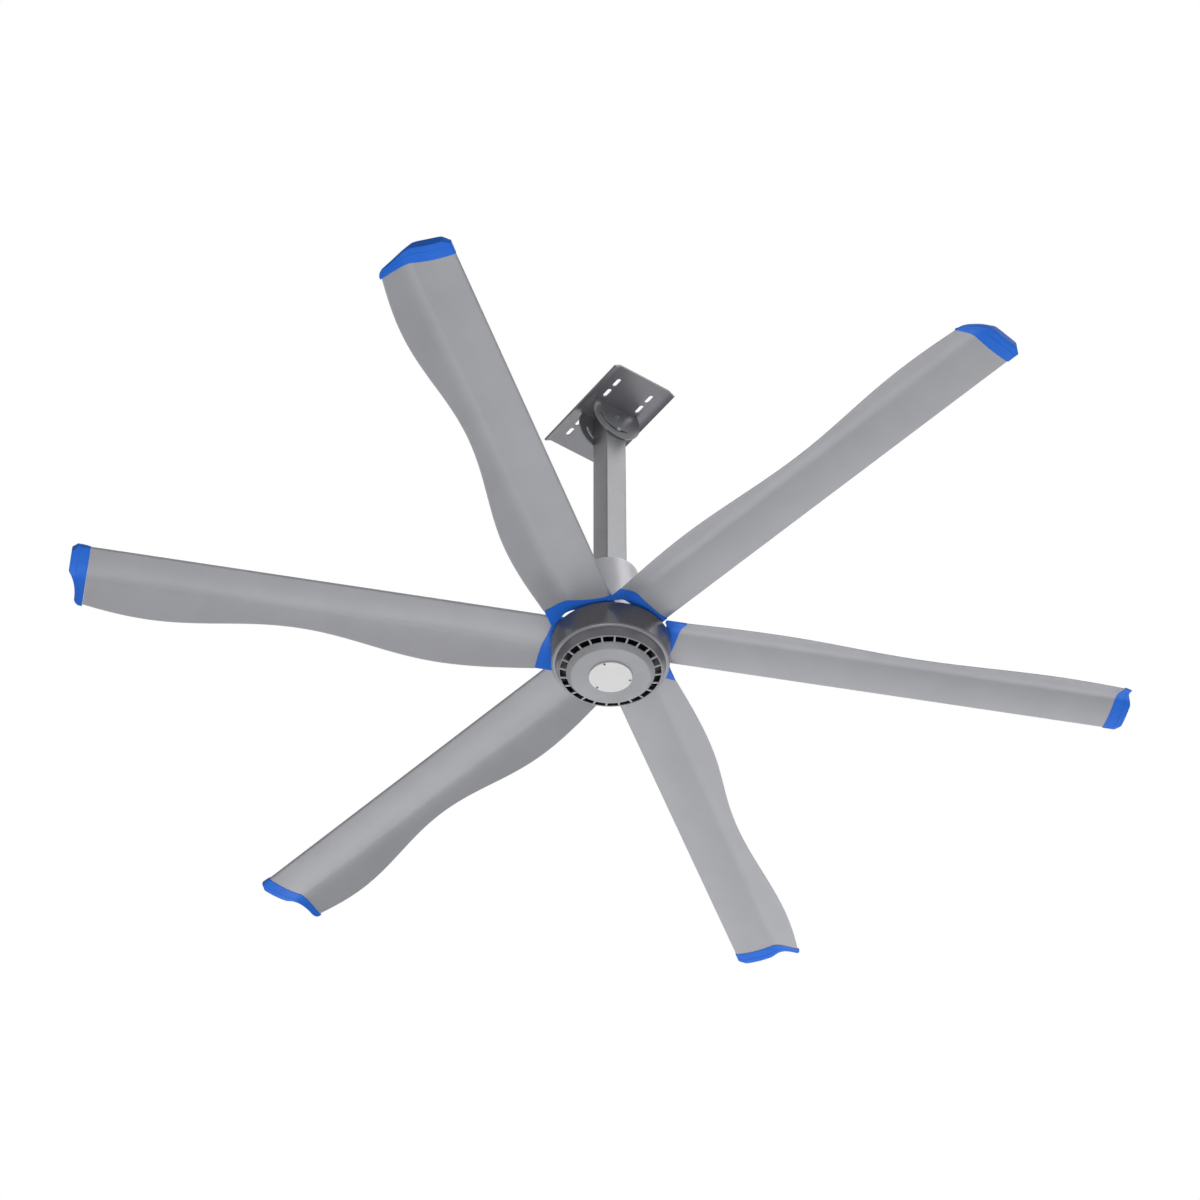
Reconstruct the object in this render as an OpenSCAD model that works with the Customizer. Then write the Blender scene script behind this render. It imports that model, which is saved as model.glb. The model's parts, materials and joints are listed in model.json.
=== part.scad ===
// High volume low speed ceiling fan, about 3 m across, with six hollow blades and a drum motor.
// The origin is the centre of the ceiling plate's top face. +Z is up and X is the tilt axis.
// All sizes are in millimetres and all angles in degrees.

/* [Ceiling bracket] */
// Length of the ceiling plate along X
plate_len = 362; // [340:1:400]
// Width of the plate's flat part, between the two bends
plate_flat_w = 171; // [166:1:190]
// Thickness of the plate
plate_t = 6; // [4:0.5:8]
// How far each bent edge reaches out beyond its bend
flange_out = 20; // [12:1:24]
// How far each bent edge drops
flange_drop = 13; // [8:1:16]
// Distance along X between the outer pairs of slots
outer_slot_span = 240; // [230:1:270]
// Distance along X between the inner pairs of slots
inner_slot_span = 144; // [138:1:150]
// Distance along Y between the two rows of slots
slot_rows = 116; // [112:1:124]
// Length of each slot, end to end
slot_len = 35; // [25:1:38]
// Width of each slot
slot_w = 13; // [11:0.5:14]
// Depth of the tilt axis below the plate's underside
pivot_depth = 40; // [40:1:48]
// Radius of the two yoke ears
ear_r = 82; // [78:1:90]
// Thickness of each ear
ear_t = 5; // [4:0.5:8]
// Radius of the arc that the lock bolt follows
lock_r = 55; // [50:1:60]
// Tilt that the arc slot allows towards +Y
tilt_plus = 35; // [20:1:40]
// Tilt that the arc slot allows towards -Y
tilt_minus = 75; // [40:1:75]

/* [Drop tube and cover] */
// Side of the square drop tube
tube_w = 70; // [60:1:70]
// Wall of the drop tube
tube_wall = 4; // [3:0.5:6]
// Depth of the blade crease line below the ceiling face
blade_drop = 915; // [800:5:1400]
// Radius of the motor cover at its top
cover_top_r = 80; // [74:1:86]
// Radius of the motor cover at its foot
cover_foot_r = 106; // [100:1:112]
// Height of the cover's top above the blade crease line
cover_top_z = 241; // [200:1:280]

/* [Motor] */
// Radius of the drum at its top edge
drum_top_r = 167.3; // [166:0.1:169]
// Radius of the drum at its bottom edge
drum_foot_r = 164; // [162:0.1:165.5]
// Radius of the round badge
badge_r = 60; // [58:0.5:66]
// Number of ventilation slots
vent_count = 24; // [18:6:30]

/* [Blades] */
// Radius where a blade ends and its tip cap begins
blade_tip_r = 1450; // [1100:10:2400]
// Length of the tip cap beyond the blade
tip_cap_len = 50; // [40:1:60]
// Angle of the first blade from +X
first_blade_angle = 7; // [0:1:59]
// Width of the blade's main part, from crease to leading edge
main_chord = 127; // [124:1:132]
// Height of the blade's top above the chord from crease to leading edge
blade_rise = 17; // [16:0.5:20]
// How far the lower face bows down below that chord
blade_bow = 5.5; // [4:0.1:6]
// Slope of the chord, leading edge down
blade_pitch = 4.2; // [3:0.1:5]
// Slope of the flap behind the crease
flap_angle = 27.3; // [24:0.1:30]
// Mean distance of the wavy trailing edge from the radial line
te_mean = 135; // [130:1:138]
// Height of the waves in the trailing edge
te_wave = 17.4; // [10:0.1:20]
// Length of one wave
wave_len = 820; // [600:10:1000]

/* [Hidden] */
$fn = 72;

blade_count = 6;
blade_step = 360 / blade_count;

// Bolts of thread size 8, as in the bracket, with heads 13 across flats
bolt_r = 4;
bolt_head_r = 7.5;
bolt_head_h = 5.3;
nut_h = 6.8;
washer_r = 7.5;
washer_t = 1.6;
side_gap = 0.5;
clamp_gap = 0.3;
run_clear = 0.05;
thread_proud = 3;
// How far a cutter runs on past what it cuts
over = 1;
pivot_z = -plate_t - pivot_depth;
lock_z = pivot_z - lock_r;
ear_x = tube_w / 2 + side_gap;
bend_angle = atan2(flange_drop, flange_out);
sleeve_r = 8;

// Tube and shaft, heights measured from the blade crease line
tube_top_rise = 15;
foot_z = 70;
foot_t = 12;
shaft_flange_t = 14;
foot_r = 70;
foot_bolt_ring = 55;
foot_bolt_r = 5;
cable_r = 12;
cover_foot_z = 30;
cover_wall = 2;
collar_t = 6;
collar_r = 64;
collar_screw_ring = 56;
small_screw_r = 2.5;
small_head_r = 4.3;
small_head_h = 2.5;
// Heads of the 10 mm bolts
mid_head_r = 9.2;
mid_head_h = 6.4;

// Shaft steps and the two ball bearings
shaft_collar_r = 34;
upper_bore_r = 30;
upper_out_r = 55;
upper_top_z = -24;
upper_w = 22;
lower_bore_r = 25;
lower_out_r = 45;
lower_top_z = -76;
lower_w = 20;
upper_pitch_r = 42.5;
upper_ball_r = 7.5;
upper_balls = 13;
lower_pitch_r = 35;
lower_ball_r = 6.5;
lower_balls = 12;
ring_gap = 4.5;
groove_clear = 0.3;
shaft_end_z = -112;
nut_r = 34;
shaft_nut_h = 9;
thread_r = 24;
nut_notch = 6;
cage_t = 2.4;
cage_share = 0.7;
spacer_r = 36;
lead_hole_z = -52;
lead_hole_r = 4.5;

// Stator, magnets and drum
carrier_z = -72;
carrier_t = 14;
window_ring = 49;
window_r = 7;
window_count = 6;
core_in_r = 72;
core_z = -80;
core_h = 38;
core_out_r = 132.5;
tooth_count = 24;
tooth_w = 14;
yoke_out_r = 100;
shoe_in_r = 127;
shoe_gap = 3;
shoe_reach = 12;
coil_build = 5;
coil_over = 6;
magnet_count = 28;
magnet_in_r = 133.5;
iron_in_r = 139;
iron_out_r = 151;
iron_top_z = -34;
magnet_over = 3;
magnet_gap = 4;
magnet_block = 12;
drum_top_z = -21.3;
web_t = 8;
drum_foot_z = -96;
plate_foot_z = -102.5;
boss_wall = 11;
boss_below = 4;
drum_edge = 1;
iron_screw_ring = 144;
iron_screw_count = 12;
iron_screw_len = 20;
iron_hole_len = 16;
iron_head_h = 3;
plate_lip = 7;
// Rounded rim of the end plate, as [inset, height above its foot]
plate_round = [[0.3, 3.5], [2.4, 1], [5.5, 0]];
plate_boss_wall = 9;
plate_hole_ring = 100;
plate_hole_r = 12;
plate_hole_count = 12;

// Vented cover, badge and their pillars
vent_rim_r = 144;
vent_rim_z = -127.2;
vent_out_r = 139.9;
vent_in_r = 122.8;
vent_in_z = -131.8;
disc_r = 110;
disc_z = -145.6;
vent_wall = 3;
vent_top_r = 153.3;
rib_w = 5.5;
badge_t = 4;
pillar_ring = 55;
pillar_r = 6;
pillar_count = 3;
pillar_bore = 12;
badge_screw_r = 2;
badge_head_r = 3.4;
badge_head_h = 1.2;
vent_cut_h = 20;
pillar_first_angle = first_blade_angle + blade_step;

// Hub plate and blade arms
hub_r = 140;
hub_t = 12;
hub_hole_r = 50;
hub_screw_ring = 105;
hub_screw_r = 4;
pad_t = 12;
pad_edge = 2;
pad_bolt_z = -13;
hub_cut_h = 42;
arm_w = 55;
arm_t = 8;
arm_in_x = 60;
arm_out_x = 420;
arm_v = -1.5;
arm_mid_u = 70.5;
arm_bolt_x = [80, 120];
arm_bolt_r = 5;
arm_hole_h = 30;
blade_bolt_x = [225, 305, 385];
blade_bolt_r = 4;

// Blade section and outline
crease_y = -70.5;
flap_t = 3;
flap_tip_t = 2;
flap_reach = 110;
edge_t = 5;
// The leading edge is thicker than the rear by nose_add, and its lower corner is cut
nose_add = 3;
nose_from = 0.7;
nose_cut = 4;
skin_t = 2.2;
flap_start = 8;
skin_slant = 1.1;
hollow_steps = 8;
plan_half = 80;
top_steps = 24;
bow_steps = 10;
bend_len = 16;
bend_steps = 6;
wave_peak_x = 450;
root_wave_len = 940;
wave_steps = 48;
root_le_x = 170;
root_slant = 0.0995;
le_y = 56.2;
cap_proud = 1.2;
seam = 0.4;
root_cap_in_x = 141;
root_cap_run = 60;
// The root cap's rear corner reaches further in, under its neighbour's leading edge
root_rear_in = 10.5;
root_bend_y = -85;
root_rear_y = -112;
root_plug_in = 10;
root_plug_out = 22;
root_arm_cut = 100;
plug_len = 16;
plug_gap = 0.3;
plug_join = 2;
tip_bevel_x = 14.5;
tip_bevel_y = 19;
tip_inner = 24.5;
tip_curve_y = -42;
tip_curve_run = 84;
tip_curve_power = 0.75;
tip_curve_steps = 12;
// Round rear end of the tip cap, as [distance beyond the blade, distance ahead of its trailing edge]
tip_rear = [[24, 10.3], [21.8, 5.5], [18.5, 2.3], [12, -2.7], [5, -4.7], [seam, -4.7]];
// Top of the tip cap from the leading edge to the crease, as [along the chord, above it]
tip_top = [[124, 13.2], [115, 15.2], [105, 17], [98, 18.3], [50, 18.6], [40, 18.1], [30, 16.2], [20, 12.4],
    [12, 9.4], [0, 6.8]];
tip_nose_v = 10.5;
// Top of the tip cap over the flap, as [down the flap, above its lower face]
tip_flap_top = [[10, 8], [48, 8], [66, 3.4], [82, 2.4]];

// Point at u along the chord from the crease, and v above it, as [y, z]
function on_main(u, v) = [
    crease_y + u * cos(blade_pitch) + v * sin(blade_pitch),
    -u * sin(blade_pitch) + v * cos(blade_pitch)
];
// Point at s down the flap from the crease, and w above its lower face, as [y, z]
function on_flap(s, w) = [
    crease_y - s * cos(flap_angle) - w * sin(flap_angle),
    -s * sin(flap_angle) + w * cos(flap_angle)
];
// Height of the blade's upper face above the chord
function top_v(u) = edge_t + (blade_rise - edge_t) * sin(180 * pow(u / main_chord, 1.25))
    + nose_add * pow(max(0, u / main_chord - nose_from) / (1 - nose_from), 2);
// Depth of the bowed lower face below the chord
function bow_v(u) = 4 * blade_bow * u / main_chord * (1 - u / main_chord);
// Point k of the way round the bend between the flap and the main part, grown outwards by g
function on_bend(k, g) = pow(1 - k, 2) * on_flap(bend_len, -g)
    + 2 * k * (1 - k) * on_flap(0, -g) + k * k * on_main(bend_len, -bow_v(bend_len) - g);
// Lower side of the section, grown outwards by g, from the flap's end at s_end round to the nose
function section_low(g, s_end) = concat(
    [on_flap(s_end, -g)],
    [for (i = [0:bend_steps]) on_bend(i / bend_steps, g)],
    [for (i = [1:bow_steps])
        let (u = bend_len + (main_chord - nose_cut - bend_len) * i / bow_steps) on_main(u, -bow_v(u) - g)],
    [on_main(main_chord + g, nose_cut / 2 - g)]
);
// Outline of the blade section, grown outwards by g, with the flap running to s_end
function section_outline(g, s_end) = concat(
    section_low(g, s_end),
    [for (i = [0:top_steps]) on_main(
        main_chord * (1 - i / top_steps) + (i == 0 ? g : 0),
        top_v(main_chord * (1 - i / top_steps)) + g)],
    [on_flap(flap_start, flap_t + g), on_flap(s_end, flap_tip_t + g)]
);
// Outline of the tip cap's section, grown outwards by g, with a higher and flatter top than the blade's
function tip_outline(g) = concat(
    section_low(g, tip_flap_top[len(tip_flap_top) - 1][0]),
    [on_main(main_chord + g, tip_nose_v)],
    [for (p = tip_top) on_main(p[0], p[1])],
    [for (p = tip_flap_top) on_flap(p[0], p[1])]
);
// Outline of one hollow of the blade between u0 and u1, shrunk by g
function hollow_outline(u0, u1, g) = concat(
    [for (i = [0:hollow_steps])
        let (u = u0 + g + (u1 - u0 - 2 * g) * i / hollow_steps)
            on_main(u, skin_t * skin_slant + g - bow_v(u))],
    [for (i = [0:hollow_steps])
        let (u = u1 - g - (u1 - u0 - 2 * g) * i / hollow_steps)
            on_main(u, top_v(u) - skin_t * skin_slant - g)]
);
hollows = [[6, 36], [39, 102], [105, 121]];
// Y of the wavy trailing edge at the distance x from the axis
function te_y(x) = -te_mean
    - te_wave * cos(360 * (x - wave_peak_x) / (x < wave_peak_x ? root_wave_len : wave_len));
// X of the slanted root border at the height y of the plan
function root_x(y) = root_le_x + (le_y - y) * root_slant;

// Placement helpers
module at_blade(i) {
    translate([0, 0, -blade_drop])
        rotate([0, 0, first_blade_angle + blade_step * (i - 1)])
            children();
}
module at_blades() {
    for (i = [1:blade_count])
        at_blade(i) children();
}
module at_rotor() {
    translate([0, 0, -blade_drop]) children();
}
module ring_of(count, radius, first = 0) {
    for (i = [0:count - 1])
        rotate([0, 0, first + 360 * i / count])
            translate([radius, 0, 0])
                children();
}
module along_x(x0, x1) {
    translate([x0, 0, 0]) rotate([90, 0, 90]) linear_extrude(x1 - x0) children();
}
// Frame of the blade's chord: Y runs from the crease to the leading edge
module in_main() {
    translate([0, crease_y, 0]) rotate([-blade_pitch, 0, 0]) children();
}
module x_rod(x0, x1, r) {
    translate([x0, 0, 0]) rotate([0, 90, 0]) cylinder(h = x1 - x0, r = r);
}
module hex(x0, h, r) {
    translate([x0, 0, 0]) rotate([0, 90, 0]) cylinder(h = h, r = r, $fn = 6);
}
module tube_ring(r_out, r_in, z0, h) {
    translate([0, 0, z0])
        difference() {
            cylinder(h = h, r = r_out, $fn = 120);
            translate([0, 0, -over]) cylinder(h = h + 2 * over, r = r_in, $fn = 120);
        }
}
module turned(points) {
    rotate_extrude($fn = 144) polygon(points);
}

// Ceiling bracket
module slot_hole(x, y) {
    run = (slot_len - slot_w) / 2;
    translate([x, y, -plate_t - over]) {
        for (side = [-1, 1])
            translate([side * run, 0, 0]) cylinder(h = plate_t + 2 * over, r = slot_w / 2);
        translate([-run, -slot_w / 2, 0]) cube([2 * run, slot_w, plate_t + 2 * over]);
    }
}
module ceiling_plate() {
    half = plate_flat_w / 2;
    shift = plate_t * tan(bend_angle / 2);
    right = [
        [half + shift, 0],
        [half + flange_out + plate_t * sin(bend_angle),
            -plate_t - flange_drop + plate_t * cos(bend_angle)],
        [half + flange_out, -plate_t - flange_drop],
        [half, -plate_t]
    ];
    left = [for (i = [3:-1:0]) [-right[i][0], right[i][1]]];
    color("dimgray")
        difference() {
            along_x(-plate_len / 2, plate_len / 2) polygon(concat(right, left));
            for (x = [-outer_slot_span / 2, -inner_slot_span / 2, inner_slot_span / 2, outer_slot_span / 2])
                for (y = [-slot_rows / 2, slot_rows / 2])
                    slot_hole(x, y);
        }
}
// Arc slot for the lock bolt, as a prism along X centred on the tilt axis
module arc_slot() {
    width = 2 * bolt_r + 2 * side_gap;
    rotate([0, 90, 0]) {
        rotate([0, 0, -tilt_minus])
            rotate_extrude(angle = tilt_minus + tilt_plus, $fn = 144)
                translate([lock_r - width / 2, 0]) square([width, ear_t + 2 * over]);
        for (end = [-tilt_minus, tilt_plus])
            rotate([0, 0, end]) translate([lock_r, 0, 0]) cylinder(h = ear_t + 2 * over, r = width / 2);
    }
}
module yoke_ears() {
    color("dimgray")
        for (x0 = [-ear_x - ear_t, ear_x])
            difference() {
                intersection() {
                    translate([0, 0, pivot_z]) x_rod(x0, x0 + ear_t, ear_r, $fn = 144);
                    translate([x0 - over, -ear_r - over, -plate_t - 2 * ear_r])
                        cube([ear_t + 2 * over, 2 * ear_r + 2 * over, 2 * ear_r]);
                }
                translate([0, 0, pivot_z]) x_rod(x0 - over, x0 + ear_t + over, bolt_r);
                translate([x0 - over, 0, pivot_z]) arc_slot();
            }
}
module pivot_bolt() {
    seat = ear_x + ear_t + washer_t;
    color("lightslategray")
        translate([0, 0, pivot_z]) {
            x_rod(-seat - nut_h - thread_proud, seat + over, bolt_r);
            hex(seat, bolt_head_h, bolt_head_r);
        }
}
module pivot_nut() {
    seat = ear_x + ear_t + washer_t;
    color("lightslategray")
        translate([0, 0, pivot_z])
            difference() {
                hex(-seat - nut_h, nut_h, bolt_head_r);
                x_rod(-seat - nut_h - over, -seat + over, bolt_r);
            }
}
module washer_pair(seat) {
    for (x0 = [-seat - washer_t, seat])
        difference() {
            x_rod(x0, x0 + washer_t, washer_r);
            x_rod(x0 - over, x0 + washer_t + over, bolt_r);
        }
}
module pivot_washers() {
    color("silver") translate([0, 0, pivot_z]) washer_pair(ear_x + ear_t);
}

// Drop tube with its tilt and lock bolts
module drop_tube() {
    top = pivot_z + tube_top_rise;
    foot = -blade_drop + foot_z;
    inner = tube_w - 2 * tube_wall;
    color("darkgray")
        difference() {
            translate([-tube_w / 2, -tube_w / 2, foot]) cube([tube_w, tube_w, top - foot]);
            translate([-inner / 2, -inner / 2, foot - over])
                cube([inner, inner, top - foot + 2 * over]);
            translate([0, 0, pivot_z]) x_rod(-tube_w, tube_w, sleeve_r);
            translate([0, 0, lock_z]) x_rod(-tube_w, tube_w, bolt_r);
        }
}
module pivot_sleeve() {
    color("silver")
        translate([0, 0, pivot_z])
            difference() {
                x_rod(-tube_w / 2, tube_w / 2, sleeve_r);
                x_rod(-tube_w, tube_w, bolt_r + run_clear);
            }
}
module lock_bolt() {
    seat = ear_x + ear_t + clamp_gap + washer_t;
    color("lightslategray")
        translate([0, 0, lock_z]) {
            x_rod(-seat - nut_h - thread_proud, seat + over, bolt_r);
            hex(seat, bolt_head_h, bolt_head_r);
        }
}
module lock_nut() {
    seat = ear_x + ear_t + clamp_gap + washer_t;
    color("lightslategray")
        translate([0, 0, lock_z])
            difference() {
                hex(-seat - nut_h, nut_h, bolt_head_r);
                x_rod(-seat - nut_h - over, -seat + over, bolt_r);
            }
}
module lock_washers() {
    color("silver") translate([0, 0, lock_z]) washer_pair(ear_x + ear_t + clamp_gap);
}
module foot_flange() {
    color("darkgray")
        at_rotor()
            difference() {
                translate([0, 0, foot_z - foot_t]) cylinder(h = foot_t, r = foot_r);
                translate([0, 0, foot_z - foot_t - over]) cylinder(h = foot_t + 2 * over, r = cable_r);
                translate([0, 0, foot_z - foot_t - over])
                    ring_of(4, foot_bolt_ring) cylinder(h = foot_t + 2 * over, r = foot_bolt_r);
            }
}
module foot_bolts() {
    under = foot_z - foot_t - shaft_flange_t;
    color("silver")
        at_rotor()
            ring_of(4, foot_bolt_ring) {
                translate([0, 0, under]) cylinder(h = foot_t + shaft_flange_t + over, r = foot_bolt_r);
                translate([0, 0, foot_z]) cylinder(h = mid_head_h, r = mid_head_r, $fn = 6);
            }
}
module stator_shaft() {
    flange_foot = foot_z - foot_t - shaft_flange_t;
    color("gray")
        at_rotor()
            difference() {
                turned([
                    [cable_r, foot_z - foot_t], [foot_r, foot_z - foot_t], [foot_r, flange_foot],
                    [shaft_collar_r, flange_foot], [shaft_collar_r, upper_top_z],
                    [upper_bore_r, upper_top_z], [upper_bore_r, lower_top_z],
                    [lower_bore_r, lower_top_z], [lower_bore_r, lower_top_z - lower_w],
                    [thread_r, lower_top_z - lower_w], [thread_r, shaft_end_z], [cable_r, shaft_end_z]
                ]);
                translate([0, 0, flange_foot - over])
                    ring_of(4, foot_bolt_ring) cylinder(h = shaft_flange_t + 2 * over, r = foot_bolt_r);
                lead_hole();
            }
}

// Motor cover around the foot of the tube
module canopy_collar() {
    z0 = cover_top_z - cover_wall - collar_t;
    color("darkgray")
        at_rotor()
            translate([0, 0, z0])
                difference() {
                    cylinder(h = collar_t, r = collar_r);
                    translate([-tube_w / 2, -tube_w / 2, -over])
                        cube([tube_w, tube_w, collar_t + 2 * over]);
                    ring_of(4, collar_screw_ring)
                        translate([0, 0, -over]) cylinder(h = collar_t + 2 * over, r = small_screw_r);
                }
}
module canopy_cover() {
    hole = tube_w + 2 * side_gap;
    color("darkgray")
        at_rotor()
            difference() {
                turned([
                    [0, cover_top_z], [cover_top_r, cover_top_z], [cover_foot_r, cover_foot_z],
                    [cover_foot_r - cover_wall, cover_foot_z],
                    [cover_top_r - cover_wall, cover_top_z - cover_wall], [0, cover_top_z - cover_wall]
                ]);
                translate([-hole / 2, -hole / 2, cover_top_z - cover_wall - over])
                    cube([hole, hole, cover_wall + 2 * over]);
                translate([0, 0, cover_top_z - cover_wall - over])
                    ring_of(4, collar_screw_ring) cylinder(h = cover_wall + 2 * over, r = small_screw_r);
            }
}
module canopy_screws() {
    color("silver")
        at_rotor()
            ring_of(4, collar_screw_ring) {
                translate([0, 0, cover_top_z - cover_wall - collar_t])
                    cylinder(h = collar_t + cover_wall + over, r = small_screw_r);
                translate([0, 0, cover_top_z]) cylinder(h = small_head_h, r = small_head_r);
            }
}

// Stator on its shaft
module lead_hole() {
    translate([0, 0, lead_hole_z]) x_rod(0, spacer_r + over, lead_hole_r);
}
module bearing_spacer() {
    z0 = carrier_z + carrier_t;
    color("silver")
        at_rotor()
            difference() {
                tube_ring(spacer_r, upper_bore_r, z0, upper_top_z - upper_w - z0);
                lead_hole();
            }
}
module stator_carrier() {
    color("darkgray")
        at_rotor() {
            difference() {
                tube_ring(core_in_r, upper_bore_r, carrier_z, carrier_t);
                translate([0, 0, carrier_z - over])
                    ring_of(window_count, window_ring) cylinder(h = carrier_t + 2 * over, r = window_r);
            }
        }
}
module stator_core() {
    shoe_w = 2 * core_out_r * sin(180 / tooth_count) - shoe_gap;
    color("slategray")
        at_rotor()
            translate([0, 0, core_z])
                difference() {
                    union() {
                        cylinder(h = core_h, r = yoke_out_r, $fn = 120);
                        ring_of(tooth_count, 0)
                            translate([yoke_out_r - 2 * over, -tooth_w / 2, 0])
                                cube([shoe_in_r - yoke_out_r + 3 * over, tooth_w, core_h]);
                        intersection() {
                            tube_ring(core_out_r, shoe_in_r, 0, core_h);
                            ring_of(tooth_count, 0)
                                translate([shoe_in_r - 2 * over, -shoe_w / 2, 0])
                                    cube([shoe_reach, shoe_w, core_h]);
                        }
                    }
                    translate([0, 0, -over]) cylinder(h = core_h + 2 * over, r = core_in_r, $fn = 120);
                }
}
module stator_windings() {
    coil_w = tooth_w + 2 * coil_build;
    color("peru")
        at_rotor()
            ring_of(tooth_count, 0)
                difference() {
                    translate([yoke_out_r + over, -coil_w / 2, core_z - coil_over])
                        cube([shoe_in_r - yoke_out_r - 2 * over, coil_w, core_h + 2 * coil_over]);
                    translate([yoke_out_r, -tooth_w / 2, core_z])
                        cube([shoe_in_r - yoke_out_r, tooth_w, core_h]);
                }
}
module shaft_nut() {
    color("silver")
        at_rotor()
            difference() {
                tube_ring(nut_r, thread_r, lower_top_z - lower_w - shaft_nut_h, shaft_nut_h);
                translate([0, 0, lower_top_z - lower_w - shaft_nut_h - over])
                    ring_of(4, nut_r)
                        translate([-nut_notch / 2, -nut_notch / 2, 0])
                            cube([nut_notch, nut_notch, shaft_nut_h + 2 * over]);
            }
}

// Deep groove ball bearings
module race(r_out, r_in, top, width, pitch, ball) {
    difference() {
        tube_ring(r_out, r_in, top - width, width);
        translate([0, 0, top - width / 2])
            rotate_extrude($fn = 120) translate([pitch, 0]) circle(r = ball, $fn = 48);
    }
}
module ball_set(pitch, ball, count, mid) {
    translate([0, 0, mid]) {
        ring_of(count, pitch) sphere(r = ball, $fn = 24);
        difference() {
            tube_ring(pitch + cage_t / 2, pitch - cage_t / 2, -ball * cage_share, 2 * ball * cage_share);
            ring_of(count, pitch) sphere(r = ball, $fn = 24);
        }
    }
}
module upper_bearing_inner() {
    color("gainsboro")
        at_rotor()
            race(upper_pitch_r - ring_gap, upper_bore_r, upper_top_z, upper_w,
                upper_pitch_r, upper_ball_r + groove_clear);
}
module upper_bearing_outer() {
    color("gainsboro")
        at_rotor()
            race(upper_out_r, upper_pitch_r + ring_gap, upper_top_z, upper_w, upper_pitch_r, upper_ball_r);
}
module upper_bearing_balls() {
    color("whitesmoke")
        at_rotor() ball_set(upper_pitch_r, upper_ball_r, upper_balls, upper_top_z - upper_w / 2);
}
module lower_bearing_inner() {
    color("gainsboro")
        at_rotor()
            race(lower_pitch_r - ring_gap, lower_bore_r, lower_top_z, lower_w,
                lower_pitch_r, lower_ball_r + groove_clear);
}
module lower_bearing_outer() {
    color("gainsboro")
        at_rotor()
            race(lower_out_r, lower_pitch_r + ring_gap, lower_top_z, lower_w, lower_pitch_r, lower_ball_r);
}
module lower_bearing_balls() {
    color("whitesmoke")
        at_rotor() ball_set(lower_pitch_r, lower_ball_r, lower_balls, lower_top_z - lower_w / 2);
}

// Turning drum with its magnets
module rotor_drum() {
    boss_foot = upper_top_z - upper_w - boss_below;
    color("dimgray")
        at_rotor()
            difference() {
                turned([
                    [hub_hole_r, drum_top_z], [hub_hole_r, upper_top_z], [upper_out_r, upper_top_z],
                    [upper_out_r, boss_foot], [upper_out_r + boss_wall, boss_foot],
                    [upper_out_r + boss_wall, drum_top_z - web_t], [iron_out_r, drum_top_z - web_t],
                    [iron_out_r, drum_foot_z], [drum_foot_r, drum_foot_z],
                    [drum_top_r, drum_top_z - drum_edge], [drum_top_r - drum_edge, drum_top_z]
                ]);
                translate([0, 0, drum_top_z - web_t - over])
                    ring_of(blade_count, hub_screw_ring, first_blade_angle + blade_step / 2)
                        cylinder(h = web_t + 2 * over, r = hub_screw_r);
            }
}
module back_iron() {
    color("slategray")
        at_rotor()
            difference() {
                tube_ring(iron_out_r, iron_in_r, drum_foot_z, iron_top_z - drum_foot_z);
                translate([0, 0, drum_foot_z - over])
                    ring_of(iron_screw_count, iron_screw_ring)
                        cylinder(h = iron_hole_len, r = small_screw_r);
            }
}
module rotor_magnets() {
    span = 2 * iron_in_r * sin(180 / magnet_count) - magnet_gap;
    color("silver")
        at_rotor()
            intersection() {
                tube_ring(iron_in_r, magnet_in_r, core_z - magnet_over, core_h + 2 * magnet_over);
                ring_of(magnet_count, magnet_in_r - magnet_over)
                    translate([0, -span / 2, core_z - magnet_over - over])
                        cube([magnet_block, span, core_h + 2 * (magnet_over + over)]);
            }
}
module lower_end_plate() {
    seat_foot = lower_top_z - lower_w;
    color("dimgray")
        at_rotor()
            difference() {
                turned([
                    [lower_out_r - plate_lip, plate_foot_z], [lower_out_r - plate_lip, seat_foot],
                    [lower_out_r, seat_foot], [lower_out_r, lower_top_z],
                    [lower_out_r + plate_boss_wall, lower_top_z],
                    [lower_out_r + plate_boss_wall, drum_foot_z], [drum_foot_r, drum_foot_z],
                    for (point = plate_round) [drum_foot_r - point[0], plate_foot_z + point[1]]
                ]);
                translate([0, 0, plate_foot_z - over]) {
                    ring_of(iron_screw_count, iron_screw_ring)
                        cylinder(h = drum_foot_z - plate_foot_z + 2 * over, r = small_screw_r);
                    ring_of(plate_hole_count, plate_hole_ring, 180 / plate_hole_count)
                        cylinder(h = drum_foot_z - plate_foot_z + 2 * over, r = plate_hole_r);
                }
            }
}
module end_plate_screws() {
    color("silver")
        at_rotor()
            ring_of(iron_screw_count, iron_screw_ring) {
                translate([0, 0, plate_foot_z - over]) cylinder(h = iron_screw_len, r = small_screw_r);
                translate([0, 0, plate_foot_z - iron_head_h])
                    cylinder(h = iron_head_h, r = small_head_r);
            }
}

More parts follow.
